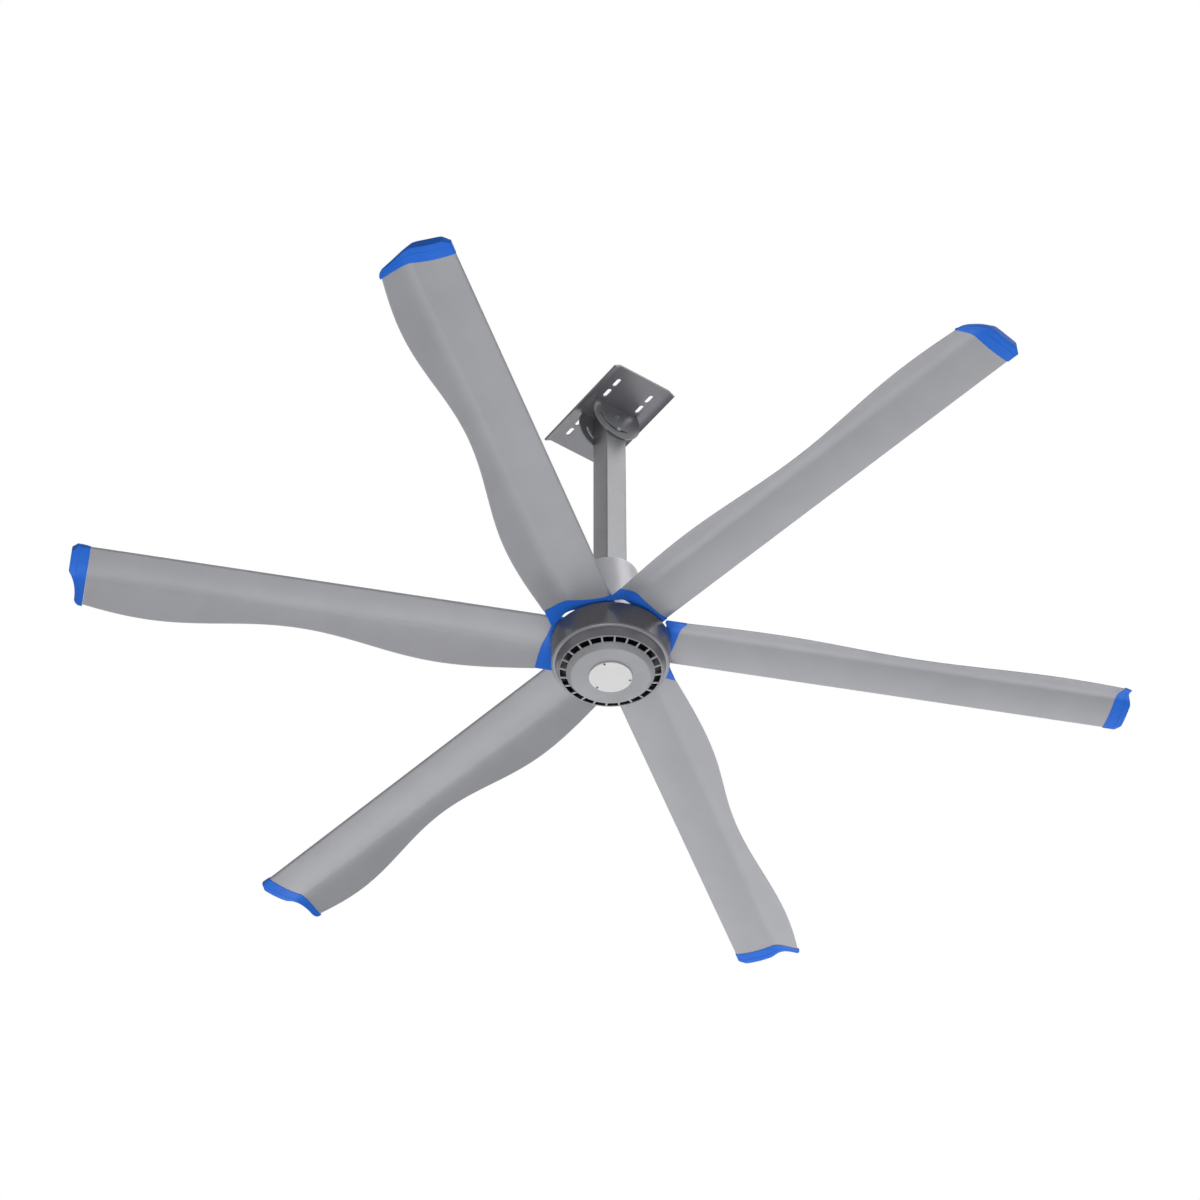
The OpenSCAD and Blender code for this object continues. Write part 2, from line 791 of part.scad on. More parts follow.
// Vented cover under the drum, its pillars and its bare badge
module vent_cover() {
    color("darkgray")
        at_rotor()
            difference() {
                turned([
                    [0, disc_z], [disc_r, disc_z], [vent_in_r, vent_in_z], [vent_out_r, vent_rim_z],
                    [vent_rim_r, vent_rim_z], [vent_top_r, plate_foot_z],
                    [vent_top_r - vent_wall, plate_foot_z],
                    [vent_rim_r - vent_wall, vent_rim_z + vent_wall],
                    [vent_in_r + 1, vent_in_z + vent_wall], [disc_r - 1, disc_z + vent_wall],
                    [0, disc_z + vent_wall]
                ]);
                translate([0, 0, vent_in_z - 2 * over])
                    difference() {
                        tube_ring(vent_out_r, vent_in_r, 0, vent_cut_h);
                        ring_of(vent_count, 0, first_blade_angle + 180 / vent_count)
                            translate([vent_in_r - over, -rib_w / 2, -over])
                                cube([vent_out_r - vent_in_r + 2 * over, rib_w, vent_cut_h + 2 * over]);
                    }
                translate([0, 0, disc_z - over])
                    ring_of(pillar_count, pillar_ring, pillar_first_angle)
                        cylinder(h = vent_wall + 2 * over, r = badge_screw_r);
            }
}
module cover_standoffs() {
    foot = disc_z + vent_wall;
    color("silver")
        at_rotor()
            ring_of(pillar_count, pillar_ring, pillar_first_angle)
                difference() {
                    translate([0, 0, foot]) cylinder(h = plate_foot_z - foot, r = pillar_r);
                    translate([0, 0, foot - over]) cylinder(h = pillar_bore + over, r = badge_screw_r);
                }
}
module badge_disc() {
    color("whitesmoke")
        at_rotor()
            difference() {
                translate([0, 0, disc_z - badge_t]) cylinder(h = badge_t, r = badge_r, $fn = 120);
                translate([0, 0, disc_z - badge_t - over])
                    ring_of(pillar_count, pillar_ring, pillar_first_angle)
                        cylinder(h = badge_t + 2 * over, r = badge_screw_r);
            }
}
module badge_screws() {
    color("silver")
        at_rotor()
            ring_of(pillar_count, pillar_ring, pillar_first_angle) {
                translate([0, 0, disc_z - badge_t - over])
                    cylinder(h = over + badge_t + vent_wall + pillar_bore, r = badge_screw_r);
                translate([0, 0, disc_z - badge_t - badge_head_h])
                    cylinder(h = badge_head_h, r = badge_head_r);
            }
}

// Hub plate and blade arms
module hub_plate() {
    color("silver")
        at_rotor()
            difference() {
                union() {
                    translate([0, 0, drum_top_z]) cylinder(h = hub_t, r = hub_r);
                    for (i = [0:blade_count - 1])
                        rotate([0, 0, first_blade_angle + blade_step * i])
                            in_main()
                                translate([arm_in_x, arm_mid_u - arm_w / 2 - pad_edge, arm_v - pad_t])
                                    cube([hub_r - pad_edge - arm_in_x, arm_w + 2 * pad_edge, pad_t]);
                }
                translate([0, 0, drum_top_z - over]) cylinder(h = hub_cut_h, r = hub_hole_r);
                translate([0, 0, drum_top_z - over])
                    ring_of(blade_count, hub_screw_ring, first_blade_angle + blade_step / 2)
                        cylinder(h = hub_cut_h, r = hub_screw_r);
                for (i = [0:blade_count - 1])
                    rotate([0, 0, first_blade_angle + blade_step * i])
                        in_main()
                            for (x = arm_bolt_x)
                                translate([x, arm_mid_u, pad_bolt_z])
                                    cylinder(h = arm_hole_h, r = arm_bolt_r);
            }
}
module hub_screws() {
    color("silver")
        at_rotor()
            ring_of(blade_count, hub_screw_ring, first_blade_angle + blade_step / 2) {
                translate([0, 0, drum_top_z - web_t])
                    cylinder(h = web_t + hub_t + over, r = hub_screw_r);
                translate([0, 0, drum_top_z + hub_t])
                    cylinder(h = bolt_head_h, r = bolt_head_r, $fn = 6);
            }
}
module blade_arms() {
    color("gray")
        at_blades()
            in_main()
                difference() {
                    translate([arm_in_x, arm_mid_u - arm_w / 2, arm_v])
                        cube([arm_out_x - arm_in_x, arm_w, arm_t]);
                    for (x = arm_bolt_x)
                        translate([x, arm_mid_u, arm_v - over])
                            cylinder(h = arm_t + 2 * over, r = arm_bolt_r);
                    for (x = blade_bolt_x)
                        translate([x, arm_mid_u, arm_v - over])
                            cylinder(h = arm_t + 2 * over, r = blade_bolt_r);
                }
}
module arm_bolts() {
    color("silver")
        at_blades()
            in_main()
                for (x = arm_bolt_x)
                    translate([x, arm_mid_u, 0]) {
                        translate([0, 0, pad_bolt_z])
                            cylinder(h = arm_v + arm_t + over - pad_bolt_z, r = arm_bolt_r);
                        translate([0, 0, arm_v + arm_t])
                            cylinder(h = mid_head_h, r = mid_head_r, $fn = 6);
                    }
}
module blade_bolts() {
    color("silver")
        at_blades()
            in_main()
                for (x = blade_bolt_x)
                    translate([x, arm_mid_u, 0]) {
                        translate([0, 0, arm_v])
                            cylinder(h = blade_rise - arm_v + over, r = blade_bolt_r);
                        translate([0, 0, blade_rise])
                            cylinder(h = bolt_head_h, r = bolt_head_r, $fn = 6);
                    }
}

// Blades and their caps
module blade_plan() {
    foot_x = root_x(te_y(root_le_x));
    polygon(concat(
        [[root_x(plan_half), plan_half], [blade_tip_r, plan_half]],
        [for (i = [wave_steps:-1:0])
            let (x = foot_x + (blade_tip_r - foot_x) * i / wave_steps) [x, te_y(x)]]
    ));
}
module blade(i) {
    color("darkgray")
        at_blade(i)
            difference() {
                intersection() {
                    along_x(root_cap_in_x, blade_tip_r) polygon(section_outline(0, flap_reach));
                    translate([0, 0, -plan_half]) linear_extrude(2 * plan_half) blade_plan();
                }
                for (h = hollows)
                    along_x(root_cap_in_x, blade_tip_r + over) polygon(hollow_outline(h[0], h[1], 0));
                in_main()
                    for (x = blade_bolt_x)
                        translate([x, arm_mid_u, arm_v + arm_t])
                            cylinder(h = blade_rise, r = blade_bolt_r);
            }
}
module plan_cut(points) {
    translate([0, 0, -plan_half]) linear_extrude(2 * plan_half) polygon(points);
}
// Plan of the root cap: it meets its neighbours and stays outside the drum's rim
root_cap_plan = [
    [root_x(le_y) - seam, le_y + cap_proud],
    [root_x(te_y(root_le_x)) - seam, te_y(root_le_x) - cap_proud],
    [root_cap_in_x - root_rear_in, te_y(root_le_x) - cap_proud],
    [root_cap_in_x - root_rear_in, root_rear_y],
    [root_cap_in_x, root_bend_y],
    [root_cap_in_x, le_y + cap_proud]
];
module root_cap(i) {
    color("royalblue")
        at_blade(i)
            difference() {
                union() {
                    intersection() {
                        along_x(root_cap_in_x - root_rear_in - over, root_cap_in_x + root_cap_run)
                            polygon(section_outline(cap_proud, flap_reach));
                        plan_cut(root_cap_plan);
                    }
                    for (h = [hollows[0], hollows[2]])
                        along_x(root_cap_in_x + root_plug_in, root_le_x + root_plug_out + plug_len)
                            polygon(hollow_outline(h[0], h[1], plug_gap));
                }
                in_main()
                    translate([root_cap_in_x - over, arm_mid_u - arm_w / 2 - over, arm_v - over])
                        cube([root_arm_cut, arm_w + 2 * over, arm_t + 2 * over]);
            }
}
// Plan of the tip cap: a bevelled leading corner, a square end and an S-curve to a round rear end
tip_cap_plan = concat(
    [[blade_tip_r + seam, le_y + cap_proud]],
    [[blade_tip_r + tip_cap_len - tip_bevel_x, le_y + cap_proud]],
    [[blade_tip_r + tip_cap_len, le_y - tip_bevel_y]],
    [for (i = [0:tip_curve_steps]) let (k = i / tip_curve_steps) [
        blade_tip_r + tip_inner
            + (tip_cap_len - tip_inner) * (1 + cos(180 * pow(k, tip_curve_power))) / 2,
        tip_curve_y - tip_curve_run * k]],
    [for (p = tip_rear) [blade_tip_r + p[0], te_y(blade_tip_r) + p[1]]]
);
module tip_cap(i) {
    color("royalblue")
        at_blade(i) {
            intersection() {
                along_x(blade_tip_r, blade_tip_r + tip_cap_len)
                    polygon(tip_outline(cap_proud));
                plan_cut(tip_cap_plan);
            }
            for (h = hollows)
                along_x(blade_tip_r - plug_len, blade_tip_r + seam + plug_join)
                    polygon(hollow_outline(h[0], h[1], plug_gap));
        }
}

ceiling_plate();
yoke_ears();
pivot_bolt();
pivot_nut();
pivot_washers();
drop_tube();
pivot_sleeve();
lock_bolt();
lock_nut();
lock_washers();
foot_flange();
foot_bolts();
stator_shaft();
canopy_collar();
canopy_cover();
canopy_screws();
bearing_spacer();
stator_carrier();
stator_core();
stator_windings();
upper_bearing_inner();
lower_bearing_inner();
shaft_nut();
rotor_drum();
back_iron();
rotor_magnets();
upper_bearing_outer();
upper_bearing_balls();
lower_bearing_outer();
lower_bearing_balls();
lower_end_plate();
end_plate_screws();
vent_cover();
cover_standoffs();
badge_disc();
badge_screws();
hub_plate();
hub_screws();
arm_bolts();
blade_bolts();
blade_arms();
for (i = [1:blade_count])
    blade(i);
for (i = [1:blade_count])
    root_cap(i);
for (i = [1:blade_count])
    tip_cap(i);
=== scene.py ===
import json
import math

import bmesh
import bpy
import numpy as np
from mathutils import Matrix, Vector

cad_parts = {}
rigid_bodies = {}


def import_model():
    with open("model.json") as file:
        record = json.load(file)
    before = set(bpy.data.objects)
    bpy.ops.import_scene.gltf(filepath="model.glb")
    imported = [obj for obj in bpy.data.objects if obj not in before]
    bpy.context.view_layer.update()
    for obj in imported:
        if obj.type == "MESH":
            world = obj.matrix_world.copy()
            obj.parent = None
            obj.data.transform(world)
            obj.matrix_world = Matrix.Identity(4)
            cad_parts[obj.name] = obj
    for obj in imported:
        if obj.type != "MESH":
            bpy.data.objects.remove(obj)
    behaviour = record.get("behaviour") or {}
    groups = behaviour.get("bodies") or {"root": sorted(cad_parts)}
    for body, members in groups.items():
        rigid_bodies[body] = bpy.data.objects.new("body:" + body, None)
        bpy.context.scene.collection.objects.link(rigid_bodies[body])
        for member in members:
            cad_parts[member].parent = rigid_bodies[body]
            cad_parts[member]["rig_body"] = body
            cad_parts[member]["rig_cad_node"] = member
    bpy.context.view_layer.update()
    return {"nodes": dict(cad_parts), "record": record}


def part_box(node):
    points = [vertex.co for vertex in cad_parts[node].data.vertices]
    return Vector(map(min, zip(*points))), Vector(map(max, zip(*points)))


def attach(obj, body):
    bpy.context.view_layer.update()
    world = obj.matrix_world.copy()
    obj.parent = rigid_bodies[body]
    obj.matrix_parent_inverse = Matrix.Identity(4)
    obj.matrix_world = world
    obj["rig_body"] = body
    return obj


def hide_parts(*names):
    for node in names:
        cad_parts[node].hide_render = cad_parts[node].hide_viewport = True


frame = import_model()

# Shapes are written in millimetres and turned into metres when a mesh is made.
# Rotor shapes are worked out with z = 0 on the crease line of the blades.
mm = 0.001
nodes = frame["nodes"]
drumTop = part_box("rotor_drum")[1].z / mm
rotor = {"creaseZ": drumTop + 21.3, "blades": 6, "firstBlade": 7.0}
print("frame loaded:", len(nodes), "nodes, crease line at", round(rotor["creaseZ"], 1), "mm")


# Mesh helpers

def roundedOutline(corners, steps):
    # corners are (across, up, reach): each becomes a quadratic curve that leaves its two sides "reach" away
    # from it, or just short of the middle of a side that is too short for that
    corners = np.asarray(corners, float)
    corners, reach = corners[:, :2], corners[:, 2]
    before = np.roll(corners, 1, 0) - corners
    after = np.roll(corners, -1, 0) - corners
    lengthBefore = np.linalg.norm(before, axis=1)
    lengthAfter = np.linalg.norm(after, axis=1)
    cut = np.minimum(reach, 0.48 * np.minimum(lengthBefore, lengthAfter))
    start = corners + before * (cut / lengthBefore)[:, None]
    end = corners + after * (cut / lengthAfter)[:, None]
    t = np.linspace(0, 1, steps)[None, :, None]
    curve = (1 - t) ** 2 * start[:, None] + 2 * t * (1 - t) * corners[:, None] + t ** 2 * end[:, None]
    return curve.reshape(-1, 2)


def gridPart(grid, wrapRows=False):
    # quads join neighbours of a grid whose columns form rings; each open end is closed by one flat face
    rows, columns = grid.shape[:2]
    points = grid.reshape(-1, 3)
    index = np.arange(rows * columns).reshape(rows, columns)
    down = np.roll(index, -1, 0) if wrapRows else index[1:]
    here = index if wrapRows else index[:-1]
    quads = np.stack([here, np.roll(here, -1, 1), np.roll(down, -1, 1), down], -1)
    faces = quads.reshape(-1, 4).tolist()
    if not wrapRows:
        faces += [index[0][::-1].tolist(), index[-1].tolist()]
    return points, faces


def signedVolume(points, faces):
    # sum of the tetrahedra between the origin and each triangle of a fan over each face
    triangles = [(f[0], f[i], f[i + 1]) for f in faces for i in range(1, len(f) - 1)]
    corners = points[np.array(triangles)]
    return np.einsum("ij,ij->i", corners[:, 0], np.cross(corners[:, 1], corners[:, 2])).sum() / 6


def outward(part):
    # turns a closed part's faces so that they look outwards
    points, faces = part
    if signedVolume(points - points.mean(0), faces) < 0:
        faces = [f[::-1] for f in faces]
    return points, faces


def makePiece(name, parts, body, replaced, material, sharp):
    # joins closed parts into one mesh that replaces CAD nodes and rides on their body
    points, faces = [], []
    start = 0
    for part in parts:
        partPoints, partFaces = outward(part)
        faces += [[i + start for i in f] for f in partFaces]
        points.append(partPoints)
        start += len(partPoints)
    mesh = bpy.data.meshes.new(name)
    mesh.from_pydata((np.concatenate(points) * mm).tolist(), [], faces)
    mesh.polygons.foreach_set("use_smooth", np.ones(len(mesh.polygons), bool))
    mesh.set_sharp_from_angle(angle=math.radians(sharp))
    mesh.materials.append(material)
    piece = bpy.data.objects.new(name, mesh)
    bpy.context.scene.collection.objects.link(piece)
    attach(piece, body)
    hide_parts(*replaced)


def revolved(outline, segments):
    # carries a closed (r, z) outline round the z axis: x = r cos a, y = r sin a
    outline = np.asarray(outline, float)
    angle = np.linspace(0, 2 * math.pi, segments, endpoint=False)
    radius = outline[:, 0][:, None]
    height = np.repeat(outline[:, 1][:, None], segments, 1)
    grid = np.stack([radius * np.cos(angle), radius * np.sin(angle), height], -1)
    return gridPart(grid, wrapRows=True)


def movedPart(part, offset):
    # adds the offset to every point
    points, faces = part
    return points + np.asarray(offset, float), faces


def turnedPart(part, degrees):
    # x' = x cos a - y sin a, y' = x sin a + y cos a, z stays
    points, faces = part
    a = math.radians(degrees)
    matrix = np.array([[math.cos(a), math.sin(a), 0], [-math.sin(a), math.cos(a), 0], [0, 0, 1]])
    return points @ matrix, faces


def onRotor(part):
    # lifts a part from z = 0 to the height of the crease line
    return movedPart(part, (0, 0, rotor["creaseZ"]))


def bladeAngle(index):
    # the first blade's direction plus equal steps round the axis
    return rotor["firstBlade"] + 360 / rotor["blades"] * index


def onBlade(part, index):
    # turns a part that lies along x to one of the blades
    return onRotor(turnedPart(part, bladeAngle(index)))


# Materials

def newMaterial(name):
    # an empty node tree with a principled shader that feeds the output
    material = bpy.data.materials.new(name)
    material.use_nodes = True
    tree = material.node_tree
    tree.nodes.clear()
    output = tree.nodes.new("ShaderNodeOutputMaterial")
    shader = tree.nodes.new("ShaderNodeBsdfPrincipled")
    tree.links.new(shader.outputs["BSDF"], output.inputs["Surface"])
    return material, tree, shader


def noiseNode(tree, scale, detail, roughness, stretch=(1, 1, 1), turn=0.0):
    # noise over the object's own coordinates, stretched and turned by a Mapping node
    coordinates = tree.nodes.new("ShaderNodeTexCoord")
    mapping = tree.nodes.new("ShaderNodeMapping")
    mapping.inputs["Scale"].default_value = stretch
    mapping.inputs["Rotation"].default_value = (0, 0, turn)
    noise = tree.nodes.new("ShaderNodeTexNoise")
    noise.inputs["Scale"].default_value = scale
    noise.inputs["Detail"].default_value = detail
    noise.inputs["Roughness"].default_value = roughness
    tree.links.new(coordinates.outputs["Object"], mapping.inputs["Vector"])
    tree.links.new(mapping.outputs["Vector"], noise.inputs["Vector"])
    return noise


def rampNode(tree, source, low, high):
    # the colour goes in a straight line from low to high while the noise goes from 0.35 to 0.65
    ramp = tree.nodes.new("ShaderNodeValToRGB")
    ramp.color_ramp.elements[0].position = 0.35
    ramp.color_ramp.elements[1].position = 0.65
    ramp.color_ramp.elements[0].color = (*low, 1)
    ramp.color_ramp.elements[1].color = (*high, 1)
    tree.links.new(source, ramp.inputs["Fac"])
    return ramp


def rangeNode(tree, source, low, high):
    # the value goes in a straight line from low to high while the noise goes from 0.3 to 0.7
    spread = tree.nodes.new("ShaderNodeMapRange")
    spread.inputs["From Min"].default_value = 0.3
    spread.inputs["From Max"].default_value = 0.7
    spread.inputs["To Min"].default_value = low
    spread.inputs["To Max"].default_value = high
    tree.links.new(source, spread.inputs["Value"])
    return spread


def bumpNode(tree, source, shader, strength, distance):
    # the noise raises the surface by up to the distance, times the strength
    bump = tree.nodes.new("ShaderNodeBump")
    bump.inputs["Strength"].default_value = strength
    bump.inputs["Distance"].default_value = distance
    tree.links.new(source, bump.inputs["Height"])
    tree.links.new(bump.outputs["Normal"], shader.inputs["Normal"])


def shade(colour, factor):
    # each channel times the factor, at most 1
    return tuple(min(1.0, c * factor) for c in colour)


broadNoise = {"scale": 9.0, "detail": 2.0, "roughness": 0.5}
fineNoise = {"detail": 5.0, "roughness": 0.6}


def finish(name, colour, metallic, roughness, grain, stretch=(1, 1, 1), turn=0.0,
           spread=0.05, rough=0.06, bump=0.06, depth=0.0002, specular=0.5):
    # broad colour drift from a large noise, roughness and relief from a fine one
    material, tree, shader = newMaterial(name)
    broad = noiseNode(tree, **broadNoise)
    fine = noiseNode(tree, grain, **fineNoise, stretch=stretch, turn=turn)
    tint = rampNode(tree, broad.outputs["Fac"], shade(colour, 1 - spread), shade(colour, 1 + spread))
    tree.links.new(tint.outputs["Color"], shader.inputs["Base Color"])
    dull = rangeNode(tree, fine.outputs["Fac"], max(0.02, roughness - rough), roughness + rough)
    tree.links.new(dull.outputs["Result"], shader.inputs["Roughness"])
    bumpNode(tree, fine.outputs["Fac"], shader, bump, depth)
    shader.inputs["Metallic"].default_value = metallic
    shader.inputs["Specular IOR Level"].default_value = specular
    return material


def paintShadeInside(material, radius, share):
    # painted shade: nearer the z axis than the radius the colour is multiplied by the share, which darkens the part
    # there as if it lay in shade
    tree = material.node_tree
    shader = next(n for n in tree.nodes if n.type == "BSDF_PRINCIPLED")
    paint = shader.inputs["Base Color"].links[0].from_socket
    place = tree.nodes.new("ShaderNodeTexCoord")
    flat = tree.nodes.new("ShaderNodeVectorMath")
    flat.operation = "MULTIPLY"
    flat.inputs[1].default_value = (1.0, 1.0, 0.0)
    tree.links.new(place.outputs["Object"], flat.inputs[0])
    reach = tree.nodes.new("ShaderNodeVectorMath")
    reach.operation = "LENGTH"
    tree.links.new(flat.outputs["Vector"], reach.inputs[0])
    fade = tree.nodes.new("ShaderNodeMapRange")
    fade.inputs["From Min"].default_value = radius - mm
    fade.inputs["From Max"].default_value = radius
    fade.inputs["To Min"].default_value = share
    tree.links.new(reach.outputs["Value"], fade.inputs["Value"])
    dimmed = tree.nodes.new("ShaderNodeVectorMath")
    dimmed.operation = "SCALE"
    tree.links.new(paint, dimmed.inputs[0])
    tree.links.new(fade.outputs["Result"], dimmed.inputs["Scale"])
    tree.links.new(dimmed.outputs["Vector"], shader.inputs["Base Color"])


# grain is the fine noise's scale and depth its relief in metres; spread is the colour's drift, and rough
# is how far the roughness strays to each side
finishes = {
    "drum": {"name": "drumPaint", "colour": (0.15, 0.151, 0.165), "metallic": 0.3, "roughness": 0.28,
             "grain": 900.0, "bump": 0.03, "depth": 0.0001, "rough": 0.03},
    "rim": {"name": "rimPaintShadedInside", "colour": (0.215, 0.217, 0.235), "metallic": 0.3, "roughness": 0.36,
            "specular": 0.3, "grain": 900.0, "bump": 0.03, "depth": 0.0001},
    "disc": {"name": "discPaint", "colour": (0.33, 0.333, 0.353), "metallic": 0.05, "roughness": 0.4,
             "specular": 0.3, "grain": 900.0, "bump": 0.04, "depth": 0.0001},
    "cover": {"name": "coverPaint", "colour": (0.475, 0.478, 0.508), "metallic": 0.15, "roughness": 0.33,
              "grain": 900.0, "bump": 0.04, "depth": 0.0001},
    "tube": {"name": "tubePaint", "colour": (0.195, 0.196, 0.208), "metallic": 0.3, "roughness": 0.3,
             "grain": 700.0, "bump": 0.04, "depth": 0.0001},
    "bracket": {"name": "bracketPaint", "colour": (0.235, 0.236, 0.252), "metallic": 0.15, "roughness": 0.36,
                "specular": 0.3, "grain": 1100.0, "bump": 0.12},
    # painted light: the ears take a lighter copy of the bracket paint, standing for the light that falls on them
    "ear": {"name": "earPaintLit", "colour": (0.3, 0.302, 0.322), "metallic": 0.15, "roughness": 0.36,
            "specular": 0.3, "grain": 1100.0, "bump": 0.12},
    "blue": {"name": "bluePlastic", "colour": (0.026, 0.17, 0.74), "metallic": 0.0, "roughness": 0.42,
             "specular": 0.08, "grain": 1400.0, "spread": 0.03, "bump": 0.05, "depth": 0.0001},
    "badge": {"name": "badgeWhite", "colour": (0.7, 0.7, 0.7), "metallic": 0.0, "roughness": 0.35,
              "grain": 1400.0, "spread": 0.01, "bump": 0.02, "depth": 0.0001},
    "zinc": {"name": "zincPlate", "colour": (0.30, 0.37, 0.39), "metallic": 0.9, "roughness": 0.4,
             "grain": 260.0, "spread": 0.14, "rough": 0.1},
    "darkScrew": {"name": "darkScrew", "colour": (0.10, 0.10, 0.105), "metallic": 0.6, "roughness": 0.4,
                  "grain": 600.0, "spread": 0.1},
    "washer": {"name": "washerSteel", "colour": (0.55, 0.56, 0.57), "metallic": 1.0, "roughness": 0.3,
               "grain": 400.0, "spread": 0.06},
    "shaft": {"name": "machinedSteel", "colour": (0.42, 0.42, 0.43), "metallic": 1.0, "roughness": 0.28,
              "grain": 300.0, "stretch": (1, 1, 12)},
    "hub": {"name": "castAluminium", "colour": (0.52, 0.53, 0.54), "metallic": 1.0, "roughness": 0.42,
            "grain": 500.0, "bump": 0.15},
    "bearing": {"name": "groundSteel", "colour": (0.66, 0.67, 0.68), "metallic": 1.0, "roughness": 0.14,
                "grain": 300.0, "spread": 0.02},
    "lamination": {"name": "laminationSteel", "colour": (0.18, 0.18, 0.2), "metallic": 0.9, "roughness": 0.4,
                   "grain": 60.0, "stretch": (0.05, 0.05, 30)},
    "copper": {"name": "copperWire", "colour": (0.55, 0.22, 0.08), "metallic": 1.0, "roughness": 0.3,
               "grain": 240.0, "stretch": (1, 1, 6)},
    "magnet": {"name": "nickelMagnet", "colour": (0.5, 0.5, 0.5), "metallic": 1.0, "roughness": 0.2,
               "grain": 200.0, "spread": 0.03},
}
materials = {key: finish(**values) for key, values in finishes.items()}

# the finish of each material slot in the record
slotFinish = {
    "bracket_paint": "bracket", "zinc": "zinc", "washer_steel": "washer", "tube_paint": "tube",
    "shaft_steel": "shaft", "cover_paint": "cover", "drum_paint": "drum", "lamination": "lamination",
    "copper": "copper", "magnet": "magnet", "bearing_steel": "bearing", "disc_paint": "disc",
    "badge_white": "badge", "hub_aluminium": "hub", "blade_aluminium": "cover", "blue_plastic": "blue",
}
for entry in frame["record"]["subparts"]:
    nodes[entry["node"]].data.materials.clear()
    nodes[entry["node"]].data.materials.append(materials[slotFinish[entry["material_slot"]]])
print("materials made:", len(materials))


# Blades: an aerofoil front with a bent-down flap, whose trailing edge is cut in waves

blade = {
    "rootX": 170.0, "rootSlant": 0.0995, "tipX": 1450.0, "creaseY": -70.5, "chord": 127.0, "leadY": 56.2,
    "pitch": 4.2, "flap": 27.3, "bow": 7.0, "bend": 14.0, "bendFlap": 24.0,
    "edge": 5.0, "rise": 17.0, "topPower": 1.25,
    "noseAdd": 3.0, "noseFrom": 0.7, "noseCut": 5.0, "noseTop": 2.5, "noseMid": 4.0,
    "teMean": 135.0, "wave": 17.4, "wavePeak": 450.0, "rootWave": 940.0, "tipWave": 820.0,
    "flapThick": 3.0, "flapTip": 2.0, "flapFrom": 8.0, "flapRun": 102.0, "edgeBack": 1.0, "edgeShare": 0.9,
    "flapLift": 0.07, "flapDrop": 0.035, "flapCurve": 40.0,
    "stations": 150, "flapCuts": 13, "bendCuts": 12, "lowerCuts": 21, "noseLowCuts": 7, "noseHighCuts": 6,
    "upperCuts": 25,
}
bladeFinish = {"colour": (0.352, 0.355, 0.381), "metallic": 0.05, "roughness": 0.4, "specular": 0.3,
               "grain": 420.0, "stretch": (0.012, 1, 1), "spread": 0.025, "rough": 0.05, "bump": 0.05,
               "depth": 0.0001}


def bladeMetal(index):
    # satin anodised extrusion: fine lines run along the blade, so each blade turns its own pattern
    return finish(f"bladeMetal{index + 1}", turn=-math.radians(bladeAngle(index)), **bladeFinish)


def onMain(u, v):
    # u runs from the crease to the leading edge along the chord, v rises square to it
    a = math.radians(blade["pitch"])
    return np.stack([blade["creaseY"] + u * math.cos(a) + v * math.sin(a),
                     -u * math.sin(a) + v * math.cos(a)], -1)


def onFlap(s, w):
    # s runs down the flap from the crease, w rises square to it
    a = math.radians(blade["flap"])
    return np.stack([blade["creaseY"] - s * math.cos(a) - w * math.sin(a),
                     -s * math.sin(a) + w * math.cos(a)], -1)


def bowDepth(u):
    # a parabola that is deepest in the middle of the chord
    return 4 * blade["bow"] * u / blade["chord"] * (1 - u / blade["chord"])


def topHeight(u):
    # half a sine wave drawn towards the front, thickened near the nose by a square
    share = np.clip(u / blade["chord"], 0, 1)
    wave = np.sin(math.pi * share ** blade["topPower"])
    near = np.clip((share - blade["noseFrom"]) / (1 - blade["noseFrom"]), 0, 1)
    return blade["edge"] + (blade["rise"] - blade["edge"]) * wave + blade["noseAdd"] * near ** 2


def trailingY(x):
    # a cosine wave whose length changes at its first peak
    length = np.where(x < blade["wavePeak"], blade["rootWave"], blade["tipWave"])
    return -blade["teMean"] - blade["wave"] * np.cos(2 * math.pi * (x - blade["wavePeak"]) / length)


def flapReach(y):
    # length down the flap from the crease to a trailing edge at y
    return (blade["creaseY"] - y) / math.cos(math.radians(blade["flap"]))


def flapThickness(s):
    # falls in a straight line from the crease to the edge
    return blade["flapThick"] + (blade["flapTip"] - blade["flapThick"]) * (s - blade["flapFrom"]) / blade["flapRun"]


def curve3(a, b, c, steps):
    # quadratic curve from a to c with its corner at b
    t = np.linspace(0, 1, steps)[:, None]
    return (1 - t) ** 2 * a + 2 * t * (1 - t) * b + t ** 2 * c


def flapRise(s):
    # height of the flap over its straight line: a parabola from the crease, then a straight fall
    near = np.minimum(s, blade["flapCurve"])
    lift, drop = blade["flapLift"], blade["flapDrop"]
    return lift * near - (lift + drop) * near ** 2 / (2 * blade["flapCurve"]) - drop * (s - near)


